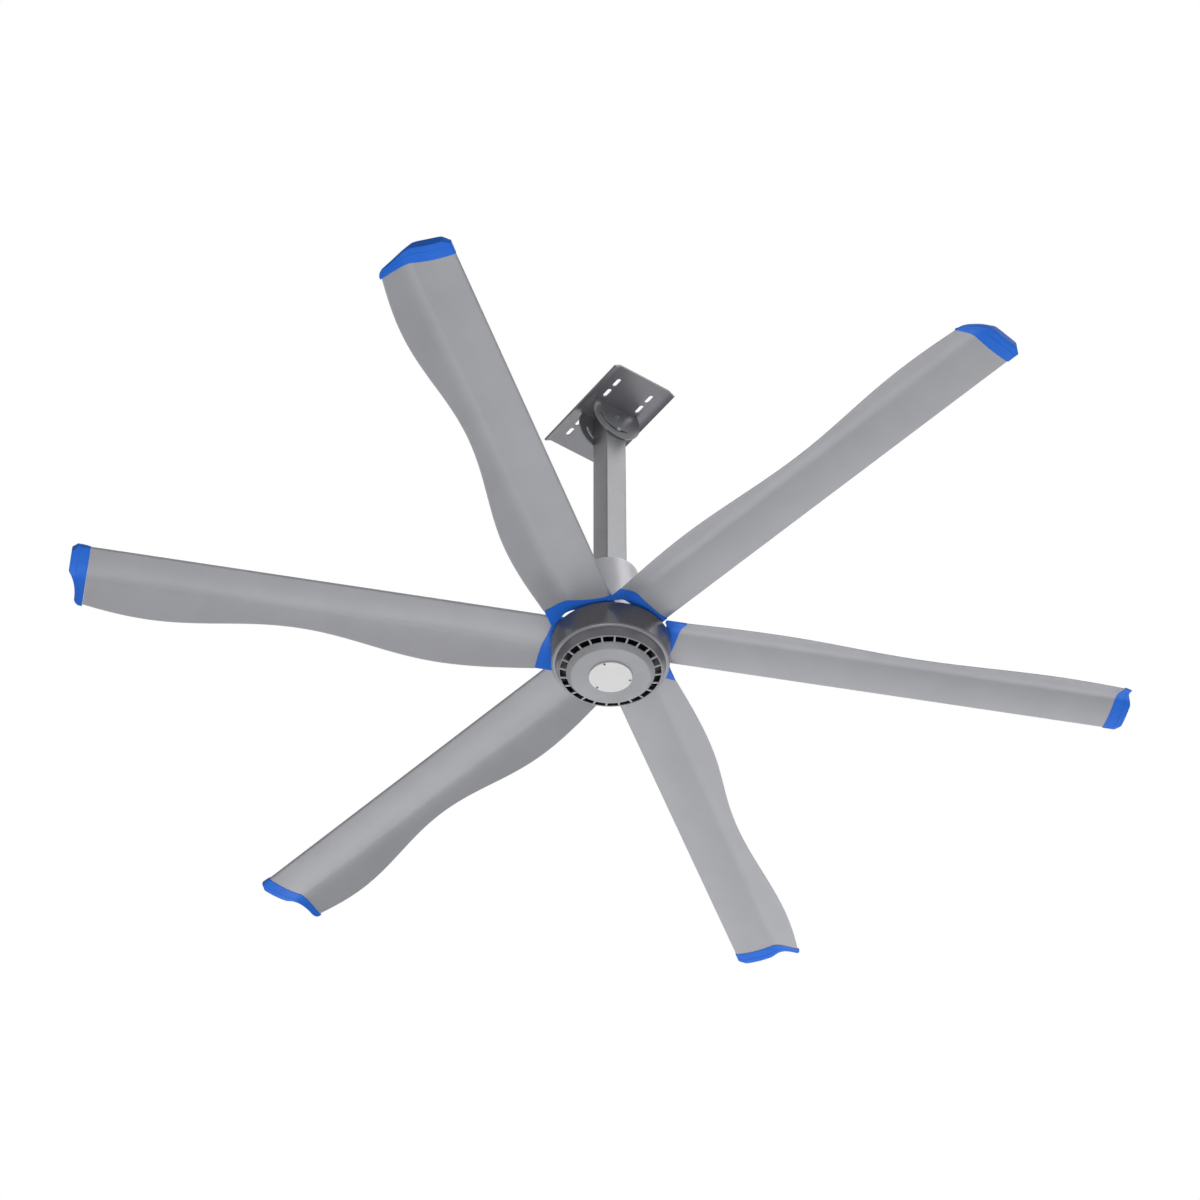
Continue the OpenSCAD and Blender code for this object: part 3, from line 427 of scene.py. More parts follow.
def frontSection(grow=0.0):
    # the section ahead of the flap: the bend, the bowed lower face, two curves round the nose, the upper face
    chord, bend, bendEnd = blade["chord"], blade["bend"], blade["bendFlap"]
    bendCurve = curve3(onFlap(bendEnd, flapRise(bendEnd) - grow), onFlap(0.0, -grow),
                       onMain(bend, -bowDepth(bend) - grow), blade["bendCuts"])
    low, high = chord - blade["noseCut"], chord - blade["noseTop"]
    u = np.linspace(bend, low, blade["lowerCuts"] + 1)[1:]
    lower = onMain(u, -bowDepth(u) - grow)
    noseLow = onMain(low, -bowDepth(low) - grow)
    noseHigh = onMain(high, topHeight(high) + grow)
    noseFront = onMain(chord + grow, blade["noseMid"])
    cornerLow, cornerHigh = onMain(chord + grow, -grow), onMain(chord + grow, topHeight(chord) + grow)
    nose = np.concatenate([curve3(noseLow, cornerLow, noseFront, blade["noseLowCuts"] + 1)[1:],
                           curve3(noseFront, cornerHigh, noseHigh, blade["noseHighCuts"] + 1)[1:]])
    u = np.linspace(high, 0, blade["upperCuts"] + 1)[1:]
    upper = onMain(u, topHeight(u) + grow)
    return np.concatenate([bendCurve, lower, nose, upper])


def flapEnds(reach, grow=0.0):
    # upper and lower faces of the flap out to "reach", joined by a round edge; one row for each reach
    reach = np.asarray(reach, float)[:, None]
    start, bend, last = blade["flapFrom"], blade["bendFlap"], reach - blade["edgeBack"]
    k = np.linspace(0, 1, blade["flapCuts"])[None]
    sTop = start + (last - start) * k
    wTop = flapThickness(sTop) + grow
    turn = np.linspace(0, math.pi, 7)[None, 1:-1]
    middle = flapThickness(reach) / 2
    sEdge = last + (middle + grow) * np.sin(turn) * blade["edgeShare"]
    wEdge = middle + (middle + grow) * np.cos(turn)
    sLow = last + (bend - last) * k[:, :-1]
    wLow = np.zeros_like(sLow) - grow
    s = np.concatenate([sTop, sEdge, sLow], 1)
    w = np.concatenate([wTop, wEdge, wLow], 1)
    return onFlap(s, w + flapRise(s))


def rootBorder(y):
    # the slanted line where the root cap ends and the blade starts
    return blade["rootX"] + (blade["leadY"] - y) * blade["rootSlant"]


teRoot = trailingY(np.array([blade["rootX"]]))[0]


def bladePart():
    # sections from root to tip: at the root each point slides out to the slanted border, at the tip none does
    share = np.linspace(0, 1, blade["stations"])
    spine = rootBorder(teRoot) + (blade["tipX"] - rootBorder(teRoot)) * share
    reach = flapReach(trailingY(spine))
    section = np.concatenate([flapEnds(reach), np.repeat(frontSection()[None], len(spine), 0)], 1)
    shift = (rootBorder(section[..., 0]) - rootBorder(teRoot)) * (1 - share)[:, None]
    along = spine[:, None] + shift
    return gridPart(np.concatenate([along[..., None], section], -1))


bladeMesh = bladePart()
for k in range(rotor["blades"]):
    makePiece(f"bladeSkin{k + 1}", [onBlade(bladeMesh, k)], "rotor", [f"blade_{k + 1}"],
              bladeMetal(k), 28)
print("blades made")


# Tip caps: the section runs on past the blade and ends in an upright wall, with a groove along it

tipCap = {
    "length": 50.0, "proud": 1.2, "seam": 0.4, "edge": 1.6, "stations": 150, "noseRound": 2.0, "soften": 3.0,
    "bevelX": 35.5, "cornerY": 37.2, "squareTo": -42.0, "curveRun": 84.0, "curvePower": 0.75, "innerEnd": 24.5,
    "rearFrom": -126.0, "rearY": -143.0, "rearThin": 0.2,
    "wallHeights": [
        (-143, 2.5), (-130, 4.6), (-115, 10.0), (-100, 11.4), (-65, 11.2), (-55, 13.8), (-45, 19.2), (-38, 22.2),
        (-30, 24.3), (-15, 25.3), (0, 25.2), (20, 24.2), (28, 23.3), (40, 19.6), (50, 16.4), (58, 12.2),
    ],
    "grooveShare": 0.62, "grooveWide": 0.9, "grooveDeep": 0.7,
}
capSection = {"thinnest": 0.4, "edgeShare": 0.42, "grooveMost": 0.2, "backAt": 0.5, "backRise": 0.85}


def softened(curve, y):
    # the mean of a curve over a few millimetres to each side, which rounds its corners
    return np.mean([curve(y + d) for d in np.linspace(-tipCap["soften"], tipCap["soften"], 7)], 0)


def tipPlan(y):
    # distance of the cap's end beyond the blade: bevelled at the front, square, then an S-curve to the rear
    cap = tipCap
    lead = blade["leadY"] + cap["proud"]
    past = np.clip((y - cap["cornerY"]) / (lead - cap["cornerY"]), 0, 1)
    bevel = cap["length"] - (cap["length"] - cap["bevelX"]) * past
    k = np.clip((cap["squareTo"] - y) / cap["curveRun"], 0, 1)
    rear = cap["innerEnd"] + (cap["length"] - cap["innerEnd"]) * (1 + np.cos(math.pi * k ** cap["curvePower"])) / 2
    return np.where(y > cap["squareTo"], bevel, rear)


def tipReach(y):
    # the softened plan, drawn in at the rear end by a quarter of an ellipse
    cap = tipCap
    t = np.clip((cap["rearFrom"] - y) / (cap["rearFrom"] - cap["rearY"]), 0, 1)
    return np.maximum(cap["seam"] + cap["rearThin"], softened(tipPlan, y) * np.sqrt(1 - t ** 2))


def tipWall(y, low):
    # top of the end wall: the softened heights above the lower face, round at the nose
    place, height = np.array(tipCap["wallHeights"], float).T
    wall = softened(lambda at: np.interp(at, place, height), y)
    k = np.clip((y - y.max() + tipCap["noseRound"]) / tipCap["noseRound"], 0, 1)
    return low + wall * np.sqrt(1 - k ** 2)


def sectionBounds(y, grow, teY):
    # lower and upper z of the grown section at each y, read along its outline
    flap = flapEnds([flapReach(teY)], grow)[0]
    front = frontSection(grow)
    # the outline parts in the middle of the flap's edge and at the foremost point of the nose
    edge = blade["flapCuts"] + 2
    foremost = blade["bendCuts"] + blade["lowerCuts"] + blade["noseLowCuts"] - 1
    lower = np.concatenate([flap[edge:], front[:foremost - 2]])
    upper = np.concatenate([front[foremost:], flap[:edge]])
    lower = lower[np.argsort(lower[:, 0])]
    upper = upper[np.argsort(upper[:, 0])]
    return np.interp(y, lower[:, 0], lower[:, 1]), np.interp(y, upper[:, 0], upper[:, 1])


def capPart(y, inner, outer, grow, teY, edge, wall=None, groove=None):
    # at each y a closed profile in x and z runs out along the lower face, up the wall and back along the top
    low, high = sectionBounds(y, grow, teY)
    high = np.maximum(high, low + capSection["thinnest"])
    end = np.maximum(wall(y, low), low + capSection["thinnest"]) if wall else high
    x0, x1 = inner(y), outer(y)
    r = np.minimum(edge, capSection["edgeShare"] * (end - low))
    way = np.sign(x1 - x0)
    k = np.linspace(0, math.pi / 2, 5)
    arc = np.stack([1 - np.sin(k), 1 - np.cos(k)], -1)
    columns = [(x0, low)]
    if groove:
        middle, wide = x0 + (x1 - x0) * groove["grooveShare"], groove["grooveWide"]
        deep = np.minimum(groove["grooveDeep"], capSection["grooveMost"] * (high - low))
        for offset, sink in ((-wide, 0.0), (-0.4 * wide, 1.0), (0.4 * wide, 1.0), (wide, 0.0)):
            columns.append((middle + offset, low + sink * deep))
    columns += [(x1 - way * r * across, low + r * up) for across, up in arc]
    columns += [(x1 - way * r * across, end - r * up) for across, up in arc[::-1]]
    if wall:
        columns.append((x0 + capSection["backAt"] * (x1 - x0), high + capSection["backRise"] * (end - high)))
    columns.append((x0, high))
    return gridPart(np.stack([np.stack([x, y, z], -1) for x, z in columns], 1))


def chordStations(lead, rear, count):
    # half a cosine wave from lead to rear crowds the stations at both ends, so that the ends come out round
    k = np.linspace(0, math.pi, count)
    return lead + (rear - lead) * (1 - np.cos(k)) / 2


noseY = onMain(blade["chord"] + tipCap["proud"], blade["noseMid"])[0]
tipMesh = capPart(chordStations(noseY, tipCap["rearY"], tipCap["stations"]),
                  lambda y: np.full_like(y, blade["tipX"] + tipCap["seam"]), lambda y: blade["tipX"] + tipReach(y),
                  tipCap["proud"], tipCap["rearY"] + tipCap["proud"], tipCap["edge"], tipWall, tipCap)
for k in range(rotor["blades"]):
    makePiece(f"tipCapShell{k + 1}", [onBlade(tipMesh, k)], "rotor", [f"tip_cap_{k + 1}"],
              materials["blue"], 40)
print("tip caps made")


# Root caps: each runs from the blade's slanted border in to the hexagonal collar

rootCap = {"innerX": 141.0, "seam": 0.4, "proud": 1.2, "edge": 1.4, "stations": 130,
           "bendY": -85.0, "rearY": -112.0, "rearIn": 10.5}


def rootInner(y):
    # straight along the hexagon's side, with the rear corner reaching in under the next cap
    share = np.clip((rootCap["bendY"] - y) / (rootCap["bendY"] - rootCap["rearY"]), 0, 1)
    return rootCap["innerX"] - rootCap["rearIn"] * share


rootMesh = capPart(chordStations(noseY, teRoot - rootCap["proud"], rootCap["stations"]),
                   lambda y: rootBorder(y) - rootCap["seam"], rootInner,
                   rootCap["proud"], teRoot, rootCap["edge"])
for k in range(rotor["blades"]):
    makePiece(f"rootCapShell{k + 1}", [onBlade(rootMesh, k)], "rotor", [f"root_cap_{k + 1}"],
              materials["blue"], 40)
print("root caps made")


# Drum: a tapered wall with a rolled lip, over the end plate's stepped rim

drum = {"topR": 167.3, "topZ": -21.3, "footR": 164.0, "footZ": -96.0, "wall": 13.0, "web": 8.0,
        "bossR": 66.0, "bossZ": -50.0, "boreR": 55.0, "lipR": 50.0, "bearingZ": -24.0, "segments": 240}
webZ, innerR = drum["topZ"] - drum["web"], drum["footR"] - drum["wall"]
drumOutline = roundedOutline([
    (drum["lipR"], drum["topZ"], 0.5), (drum["lipR"], drum["bearingZ"], 0.3), (drum["boreR"], drum["bearingZ"], 0.3),
    (drum["boreR"], drum["bossZ"], 1.0), (drum["bossR"], drum["bossZ"], 2.0), (drum["bossR"], webZ, 3.0),
    (innerR, webZ, 3.0), (innerR, drum["footZ"], 0.6), (drum["footR"], drum["footZ"], 1.0),
    (drum["topR"], drum["topZ"], 2.2),
], 6)
makePiece("drumShell", [onRotor(revolved(drumOutline, drum["segments"]))], "rotor", ["rotor_drum"],
          materials["drum"], 30)

plate = {"lipR": 38.0, "seatR": 45.0, "seatZ": -96.0, "bossR": 54.0, "bossZ": -76.0, "footZ": -102.5,
         # the last two: radius and share of the painted shade behind the vents
         "paintedShadeR": 152.0, "paintedShadeShare": 0.1}
plateOutline = roundedOutline([
    (plate["lipR"], plate["footZ"], 0.5), (plate["lipR"], plate["seatZ"], 0.3),
    (plate["seatR"], plate["seatZ"], 0.3), (plate["seatR"], plate["bossZ"], 1.0),
    (plate["bossR"], plate["bossZ"], 1.0), (plate["bossR"], plate["seatZ"] + 0.1, 2.0),
    (drum["footR"] - 0.6, plate["seatZ"] - 0.2, 0.5), (drum["footR"] - 0.3, plate["seatZ"] - 3.0, 1.6),
    (drum["footR"] - 3.0, plate["footZ"] + 0.6, 1.6), (drum["footR"] - 6.0, plate["footZ"], 1.6),
], 6)
makePiece("endPlateRim", [onRotor(revolved(plateOutline, drum["segments"]))], "rotor", ["lower_end_plate"],
          materials["rim"], 30)
# painted shade: behind the vents the plate's colour is darkened to stand for the shade inside the vent slots
paintShadeInside(materials["rim"], plate["paintedShadeR"] * mm, plate["paintedShadeShare"])
print("drum made")


# Vented cover: an outer skirt, a dished middle and the ribs between them

cover = {"topR": 153.3, "topZ": -102.5, "rimR": 144.0, "rimZ": -127.2, "slotOut": 139.9, "slotIn": 122.8,
         "inZ": -131.8, "discR": 110.0, "discZ": -145.6, "flatR": 60.0, "wall": 3.0, "segments": 288,
         "slots": 24, "rib": 5.5, "ribTop": 4.0, "ribOver": 1.5}
skirtOutline = roundedOutline([
    (cover["topR"], cover["topZ"], 0.6), (cover["rimR"], cover["rimZ"], 1.3),
    (cover["slotOut"], cover["rimZ"] - 0.6, 0.6), (cover["slotOut"], cover["rimZ"] + 2.6, 0.6),
    (cover["rimR"] - 3.4, cover["rimZ"] + 3.4, 1.0), (cover["topR"] - cover["wall"], cover["topZ"], 0.6),
], 6)
backZ = cover["discZ"] + cover["wall"]
dishOutline = np.concatenate([
    [(0.0, cover["discZ"])],
    roundedOutline([
        (cover["flatR"], cover["discZ"], 0.1), (cover["discR"], cover["discZ"], 2.6),
        (cover["slotIn"], cover["inZ"], 0.9), (cover["slotIn"] + 0.2, cover["inZ"] + cover["wall"], 0.6),
        (cover["discR"] - 1.0, backZ, 2.0), (cover["flatR"], backZ, 0.1),
    ], 6),
    [(0.0, backZ)],
])


def ribPart():
    # a bar with rounded lower edges that slopes from the skirt down to the dish
    half, top, over = cover["rib"] / 2, cover["ribTop"], cover["ribOver"]
    outline = roundedOutline([(-half, 0.0, 0.8), (half, 0.0, 0.8), (half, top, 0.3), (-half, top, 0.3)], 4)
    r = np.linspace(cover["slotIn"] - over, cover["slotOut"] + over, 8)
    slope = (cover["rimZ"] - cover["inZ"]) / (cover["slotOut"] - cover["slotIn"])
    z = cover["inZ"] + slope * (r - cover["slotIn"])
    grid = np.stack([np.repeat(r[:, None], len(outline), 1), np.repeat(outline[None, :, 0], len(r), 0),
                     z[:, None] + outline[None, :, 1]], -1)
    return gridPart(grid)


dishParts = [revolved(dishOutline, cover["segments"])]
for k in range(cover["slots"]):
    dishParts.append(turnedPart(ribPart(), rotor["firstBlade"] + 180 / cover["slots"] + 360 * k / cover["slots"]))
makePiece("ventDish", [onRotor(part) for part in dishParts], "rotor", ["vent_cover"], materials["disc"],
          32)
makePiece("ventSkirt", [onRotor(revolved(skirtOutline, cover["segments"]))], "rotor", ["vent_cover"],
          materials["drum"], 32)
print("vented cover made")


# Badge: a bare disc with a rounded edge, held by three small screws

badge = {"radius": 60.0, "flatR": 50.0, "thick": 4.0, "segments": 192, "screws": 3, "screwRing": 55.0,
         "firstScrew": 60.0, "headR": 3.4, "head": 1.2, "headSegments": 64, "headRings": 14, "middle": 0.04,
         "dome": 0.35, "cross": 0.45, "crossReach": 0.62, "crossDepth": 0.55, "seat": 0.2}
faceZ = cover["discZ"] - badge["thick"]
badgeOutline = np.concatenate([
    [(0.0, faceZ)],
    roundedOutline([(badge["flatR"], faceZ, 0.1), (badge["radius"], faceZ, 1.0),
                    (badge["radius"], cover["discZ"], 0.2), (badge["flatR"], cover["discZ"], 0.1)], 6),
    [(0.0, cover["discZ"])],
])
makePiece("badgePlate", [onRotor(revolved(badgeOutline, badge["segments"]))], "rotor", ["badge_disc"],
          materials["badge"], 30)


def crossHead():
    # a head that looks down: depth = height (1 - dome share x radius share cubed), less along a sunk cross
    radius, height, count = badge["headR"], badge["head"], badge["headSegments"]
    k = np.linspace(badge["middle"], 1, badge["headRings"])[:, None]
    angle = np.linspace(0, 2 * math.pi, count, endpoint=False)
    x, y = radius * k * np.cos(angle), radius * k * np.sin(angle)
    dome = height * (1 - badge["dome"] * k ** 3)
    inCross = (np.minimum(np.abs(x), np.abs(y)) < badge["cross"]) & (k < badge["crossReach"])
    z = np.where(inCross, badge["crossDepth"] * height, 0.0) - dome
    rim = np.stack([radius * np.cos(angle), radius * np.sin(angle), np.full(count, badge["seat"])], -1)
    return gridPart(np.concatenate([np.stack([x, y, z], -1), rim[None]]))


screwHead = movedPart(crossHead(), (badge["screwRing"], 0, faceZ))
screwAngles = [rotor["firstBlade"] + badge["firstScrew"] + 360 / badge["screws"] * k for k in range(badge["screws"])]
makePiece("badgeScrewHeads", [onRotor(turnedPart(screwHead, angle)) for angle in screwAngles], "rotor",
          ["badge_screws"], materials["darkScrew"], 30)
print("badge made")


# Motor cover: a tapered round shell with a square hole for the tube

canopy = {"topR": 80.0, "topZ": 241.0, "footR": 106.0, "footZ": 30.0, "flatR": 60.0, "wall": 2.0,
          "hole": 35.5, "squareness": 14.0, "segments": 240}


def squareRing(half, power, angle):
    # distance to a rounded square's edge: half / (|cos a|^p + |sin a|^p)^(1/p)
    return half / (np.abs(np.cos(angle)) ** power + np.abs(np.sin(angle)) ** power) ** (1 / power)


def canopyPart():
    # the round shell's outline at each angle, begun and ended at the square hole's edge
    angle = np.linspace(0, 2 * math.pi, canopy["segments"], endpoint=False)
    square = squareRing(canopy["hole"], canopy["squareness"], angle)[None]
    wall, top, foot = canopy["wall"], canopy["topZ"], canopy["footZ"]
    shell = roundedOutline([
        (canopy["flatR"], top, 0.1), (canopy["topR"], top, 4.0), (canopy["footR"], foot, 0.9),
        (canopy["footR"] - wall, foot, 0.9), (canopy["topR"] - wall, top - wall, 3.0),
        (canopy["flatR"], top - wall, 0.1),
    ], 7)
    flat = np.ones_like(square)
    radius = np.concatenate([square, shell[:, :1] * flat, square])
    height = np.concatenate([top * flat, shell[:, 1:] * flat, (top - wall) * flat])
    grid = np.stack([radius * np.cos(angle), radius * np.sin(angle), height], -1)
    return gridPart(grid, wrapRows=True)


makePiece("canopyShell", [onRotor(canopyPart())], "mast", ["canopy_cover"], materials["cover"],
          32)
print("motor cover made")


# Drop tube: a square tube with rolled corners

tube = {"half": 35.0, "wall": 4.0, "corner": 4.5, "innerCorner": 0.8, "rows": 24}


def squareOutline(half, corner):
    # a square with rounded corners, from its half width
    return roundedOutline([(half, half, corner), (-half, half, corner), (-half, -half, corner),
                           (half, -half, corner)], 7)


def tubePart():
    # the outer square is carried up and the inner one back down
    low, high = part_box("drop_tube")
    outer = squareOutline(tube["half"], tube["corner"])
    inner = squareOutline(tube["half"] - tube["wall"], tube["innerCorner"])
    heights = np.linspace(low.z / mm, high.z / mm, tube["rows"])
    rows = [np.column_stack([outer, np.full(len(outer), z)]) for z in heights]
    rows += [np.column_stack([inner, np.full(len(inner), z)]) for z in heights[::-1]]
    return gridPart(np.stack(rows), wrapRows=True)


makePiece("dropTubeWall", [tubePart()], "mast", ["drop_tube"], materials["tube"], 40)
print("drop tube made")


# Hex heads and nuts, drawn for every bolt that shows

hexShape = {"coneFrom": 0.97, "coneSlope": 0.6, "rings": (0.02, 0.55, 0.93), "segments": 72}
thread = {"depth": 0.09, "chamfer": 1.2, "perPitch": 4, "segments": 32}


def hexPart(acrossCorners, height):
    # a hexagon of radius inside / cos(angle from the middle of a side), its corners cut by a cone
    count = hexShape["segments"]
    angle = np.linspace(0, 2 * math.pi, count, endpoint=False)
    inside = acrossCorners * math.cos(math.pi / 6)
    hexagon = inside / np.cos((angle + math.pi / 6) % (math.pi / 3) - math.pi / 6)
    top = height - np.maximum(0.0, hexagon - inside * hexShape["coneFrom"]) * hexShape["coneSlope"]
    rings = [(inside * share, np.full(count, height)) for share in hexShape["rings"]]
    rings += [(hexagon, top), (hexagon, np.zeros(count))]
    return gridPart(np.stack([np.stack([r * np.cos(angle), r * np.sin(angle), z], -1) for r, z in rings]))


def threadPart(radius, high, pitch):
    # a rod of radius R - depth x pitch x (1 - cos(2 pi z / pitch)), with a chamfered end
    z = np.arange(0.0, high, pitch / thread["perPitch"])[:, None]
    r = radius - thread["depth"] * pitch * (1 - np.cos(2 * math.pi * z / pitch))
    r = np.minimum(r, radius - np.maximum(0.0, z - (high - thread["chamfer"])))
    angle = np.linspace(0, 2 * math.pi, thread["segments"], endpoint=False)
    return gridPart(np.stack([r * np.cos(angle), r * np.sin(angle), z + 0 * angle], -1))


def alongX(part, sign):
    # x' = z times the sign, z' = x, so that a bolt along z lies along x
    points, faces = part
    return np.stack([points[:, 2] * sign, points[:, 1], points[:, 0]], -1), faces


bracketBolt = {"headR": 7.5, "head": 5.3, "nut": 6.8, "shankR": 4.0, "pitch": 1.25, "proud": 2.9}


def crossBolt(name, body, headNode, nutNode, face, z):
    # a head on +X, a nut on -X and the thread that stands out of the nut
    size = bracketBolt
    length = 2 * face + size["nut"] + size["proud"]
    head = movedPart(alongX(hexPart(size["headR"], size["head"]), 1.0), (face, 0, z))
    shank = movedPart(alongX(threadPart(size["shankR"], length, size["pitch"]), -1.0), (face, 0, z))
    nut = movedPart(alongX(hexPart(size["headR"], size["nut"]), -1.0), (-face, 0, z))
    makePiece(name + "Head", [head, shank], body, [headNode], materials["zinc"], 30)
    makePiece(name + "Nut", [nut], body, [nutNode], materials["zinc"], 30)


def middleZ(nodeName):
    # halfway between the lowest and the highest point of a CAD node
    low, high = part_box(nodeName)
    return (low.z + high.z) / 2 / mm


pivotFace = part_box("pivot_washers")[1].x / mm
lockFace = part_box("lock_washers")[1].x / mm
crossBolt("pivotBolt", "bracket", "pivot_bolt", "pivot_nut", pivotFace, middleZ("pivot_sleeve"))
crossBolt("lockBolt", "mast", "lock_bolt", "lock_nut", lockFace, middleZ("lock_nut"))
print("bracket bolts made")


# Bevelled copies give the plainer CAD nodes a soft edge

softEdge = {"weld": 0.00002, "flat": 1.0, "angle": 35, "segments": 2, "weight": 100}


def bevelledCopy(nodeName, body, material, width):
    # a welded copy of a CAD node whose edges sharper than the angle get a bevel of the width
    copy = nodes[nodeName].copy()
    copy.data = nodes[nodeName].data.copy()
    copy.name = nodeName + "Edged"
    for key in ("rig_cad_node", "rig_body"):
        if key in copy:
            del copy[key]
    copy.parent = None
    bpy.context.scene.collection.objects.link(copy)
    mesh = copy.data
    work = bmesh.new()
    work.from_mesh(mesh)
    bmesh.ops.remove_doubles(work, verts=work.verts, dist=softEdge["weld"])
    bmesh.ops.dissolve_limit(work, angle_limit=math.radians(softEdge["flat"]), verts=work.verts, edges=work.edges)
    work.to_mesh(mesh)
    work.free()
    bevel = copy.modifiers.new("edge", "BEVEL")
    bevel.width = width * mm
    bevel.segments = softEdge["segments"]
    bevel.limit_method = "ANGLE"
    bevel.angle_limit = math.radians(softEdge["angle"])
    bevel.harden_normals = True
    bevel.use_clamp_overlap = True
    weighted = copy.modifiers.new("flatFaces", "WEIGHTED_NORMAL")
    weighted.mode = "FACE_AREA"
    weighted.weight = softEdge["weight"]
    mesh.polygons.foreach_set("use_smooth", np.ones(len(mesh.polygons), bool))
    mesh.materials.clear()
    mesh.materials.append(material)
    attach(copy, body)
    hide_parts(nodeName)


bevelledCopy("ceiling_plate", "bracket", materials["bracket"], 0.9)
# the ears get the lighter copy of the bracket paint, as painted light
bevelledCopy("yoke_ears", "bracket", materials["ear"], 0.8)
bevelledCopy("hub_plate", "rotor", materials["hub"], 1.2)
bevelledCopy("blade_arms", "rotor", materials["hub"], 0.8)
for nodeName in ("hub_screws", "arm_bolts", "blade_bolts"):
    bevelledCopy(nodeName, "rotor", materials["zinc"], 0.5)
print("edged copies made")


# Stage, light and camera

stage = {"floorZ": -14.5, "floorSize": 800.0, "floor": (0.86, 0.86, 0.86), "floorRoughness": 0.8,
         "floorSeen": 0.6, "ambient": 0.15}


def seenBy(tree, kinds):
    # 1 for the kinds of ray named and 0 for the others
    path = tree.nodes.new("ShaderNodeLightPath")
    seen = path.outputs[kinds[0]]
    for kind in kinds[1:]:
        either = tree.nodes.new("ShaderNodeMath")
        either.operation = "MAXIMUM"
        tree.links.new(seen, either.inputs[0])
        tree.links.new(path.outputs[kind], either.inputs[1])
        seen = either.outputs[0]
    return seen


def mixBySight(tree, kinds, plain, bright, output):
    # the rays named see the bright shader, all others the plain one
    mix = tree.nodes.new("ShaderNodeMixShader")
    tree.links.new(seenBy(tree, kinds), mix.inputs["Fac"])
    tree.links.new(plain, mix.inputs[1])
    tree.links.new(bright, mix.inputs[2])
    tree.links.new(mix.outputs[0], output.inputs["Surface"])


def makeFloor():
    # a wide square far below the fan: mirror rays see it white, the camera sees its shadows on a pale ground
    half = stage["floorSize"] / 2
    mesh = bpy.data.meshes.new("floor")
    z = stage["floorZ"]
    mesh.from_pydata([(-half, -half, z), (half, -half, z), (half, half, z), (-half, half, z)], [], [(0, 1, 2, 3)])
    floor = bpy.data.objects.new("floor", mesh)
    bpy.context.scene.collection.objects.link(floor)
    material, tree, shader = newMaterial("paleFloor")
    shader.inputs["Base Color"].default_value = (*stage["floor"], 1)
    shader.inputs["Roughness"].default_value = stage["floorRoughness"]
    paler = tree.nodes.new("ShaderNodeMath")
    paler.operation = "MULTIPLY"
    paler.inputs[1].default_value = stage["floorSeen"]
    tree.links.new(seenBy(tree, ("Is Camera Ray",)), paler.inputs[0])
    shader.inputs["Emission Color"].default_value = (1, 1, 1, 1)
    tree.links.new(paler.outputs[0], shader.inputs["Emission Strength"])
    white = tree.nodes.new("ShaderNodeEmission")
    white.inputs["Strength"].default_value = 1.0
    output = next(n for n in tree.nodes if n.type == "OUTPUT_MATERIAL")
    mixBySight(tree, ("Is Glossy Ray", "Is Transmission Ray"), shader.outputs["BSDF"], white.outputs[0], output)
    mesh.materials.append(material)


def makeWorld():
    # white for the camera and for mirror and glass rays, a plain level for the light on the object
    world = bpy.data.worlds.new("studio")
    bpy.context.scene.world = world
    world.use_nodes = True
    tree = world.node_tree
    tree.nodes.clear()
    output = tree.nodes.new("ShaderNodeOutputWorld")
    levels = []
    for strength in (stage["ambient"], 1.0):
        level = tree.nodes.new("ShaderNodeBackground")
        level.inputs["Color"].default_value = (1, 1, 1, 1)
        level.inputs["Strength"].default_value = strength
        levels.append(level.outputs[0])
    mixBySight(tree, ("Is Camera Ray", "Is Glossy Ray", "Is Transmission Ray"), *levels, output)


def direction(place):
    # x = sin a cos e, y = -cos a cos e, z = sin e: azimuth 0 looks from the front, which is -Y
    a, e = math.radians(place["azimuth"]), math.radians(place["elevation"])
    return Vector((math.sin(a) * math.cos(e), -math.cos(a) * math.cos(e), math.sin(e)))


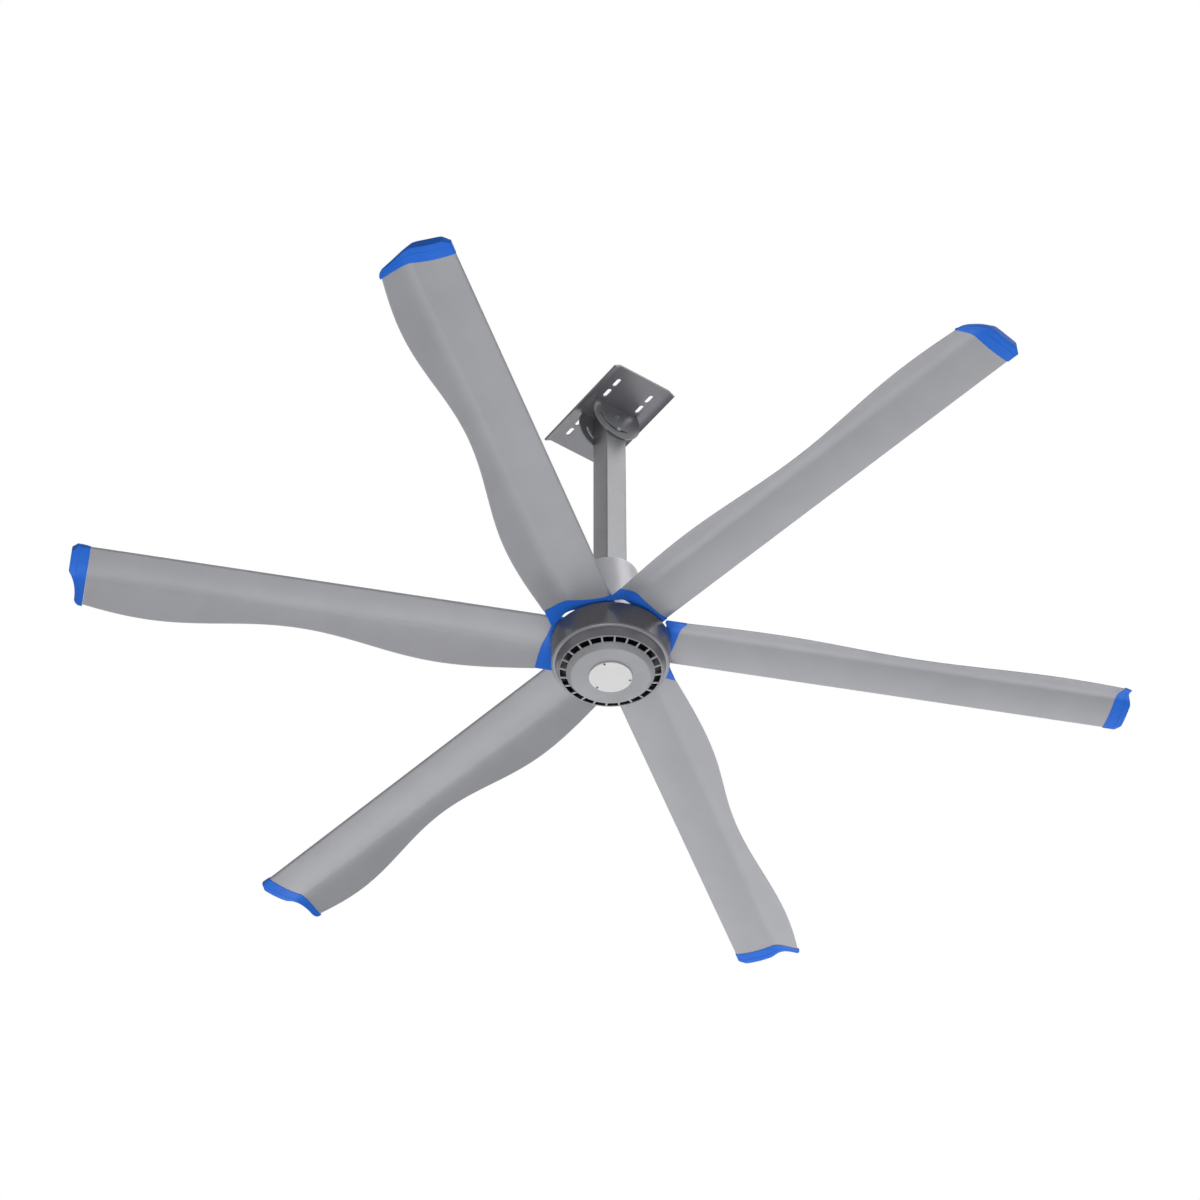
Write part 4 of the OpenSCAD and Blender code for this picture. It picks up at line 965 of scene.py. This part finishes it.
camera = {"azimuth": 54.66, "elevation": -44.24, "distance": 9.614, "aim": (0.0437, -0.0661, -0.8391),
          "lens": 103.72, "sensor": 36.0, "roll": 0.12, "farthest": 2000.0}


def makeCamera():
    # stands at aim + distance x direction and looks back at the aim, turned a little about its line of sight
    away = direction(camera)
    place = Vector(camera["aim"]) + away * camera["distance"]
    data = bpy.data.cameras.new("photoCamera")
    data.lens = camera["lens"]
    data.sensor_width = camera["sensor"]
    data.sensor_fit = "HORIZONTAL"
    data.clip_end = camera["farthest"]
    eye = bpy.data.objects.new("photoCamera", data)
    look = (-away).to_track_quat("-Z", "Y")
    roll = Matrix.Rotation(math.radians(-camera["roll"]), 4, "Z")
    eye.matrix_world = Matrix.Translation(place) @ look.to_matrix().to_4x4() @ roll
    bpy.context.scene.collection.objects.link(eye)
    bpy.context.scene.camera = eye


lampAt = {"distance": 7.0, "size": 4.5}
lamps = {
    "farLow": {"azimuth": 247.5, "elevation": -20.0, "power": 109.0},
    "backLow": {"azimuth": 202.5, "elevation": -20.0, "power": 95.0},
    "backUnder": {"azimuth": 225.0, "elevation": -50.0, "power": 91.0},
    "rightUnder": {"azimuth": 45.0, "elevation": -50.0, "power": 123.0},
    "under": {"azimuth": 0.0, "elevation": -85.0, "power": 118.0},
    "rightAbove": {"azimuth": 112.5, "elevation": 40.0, "power": 180.0},
    "above": {"azimuth": 135.0, "elevation": 80.0, "power": 150.0},
}


def makeLamp(name, lamp):
    # a square soft lamp on a sphere round the fan, turned to face it
    away = direction(lamp)
    middle = Vector((0, 0, rotor["creaseZ"] * mm))
    data = bpy.data.lights.new(name, "AREA")
    data.size = lampAt["size"]
    data.energy = lamp["power"]
    light = bpy.data.objects.new(name, data)
    light.location = middle + away * lampAt["distance"]
    light.rotation_euler = (-away).to_track_quat("-Z", "Y").to_euler()
    light.visible_camera = False
    bpy.context.scene.collection.objects.link(light)


makeFloor()
makeWorld()
makeCamera()
for name, lamp in lamps.items():
    makeLamp(name, lamp)
bpy.context.scene.view_settings.view_transform = "Standard"
print("stage, light and camera made")
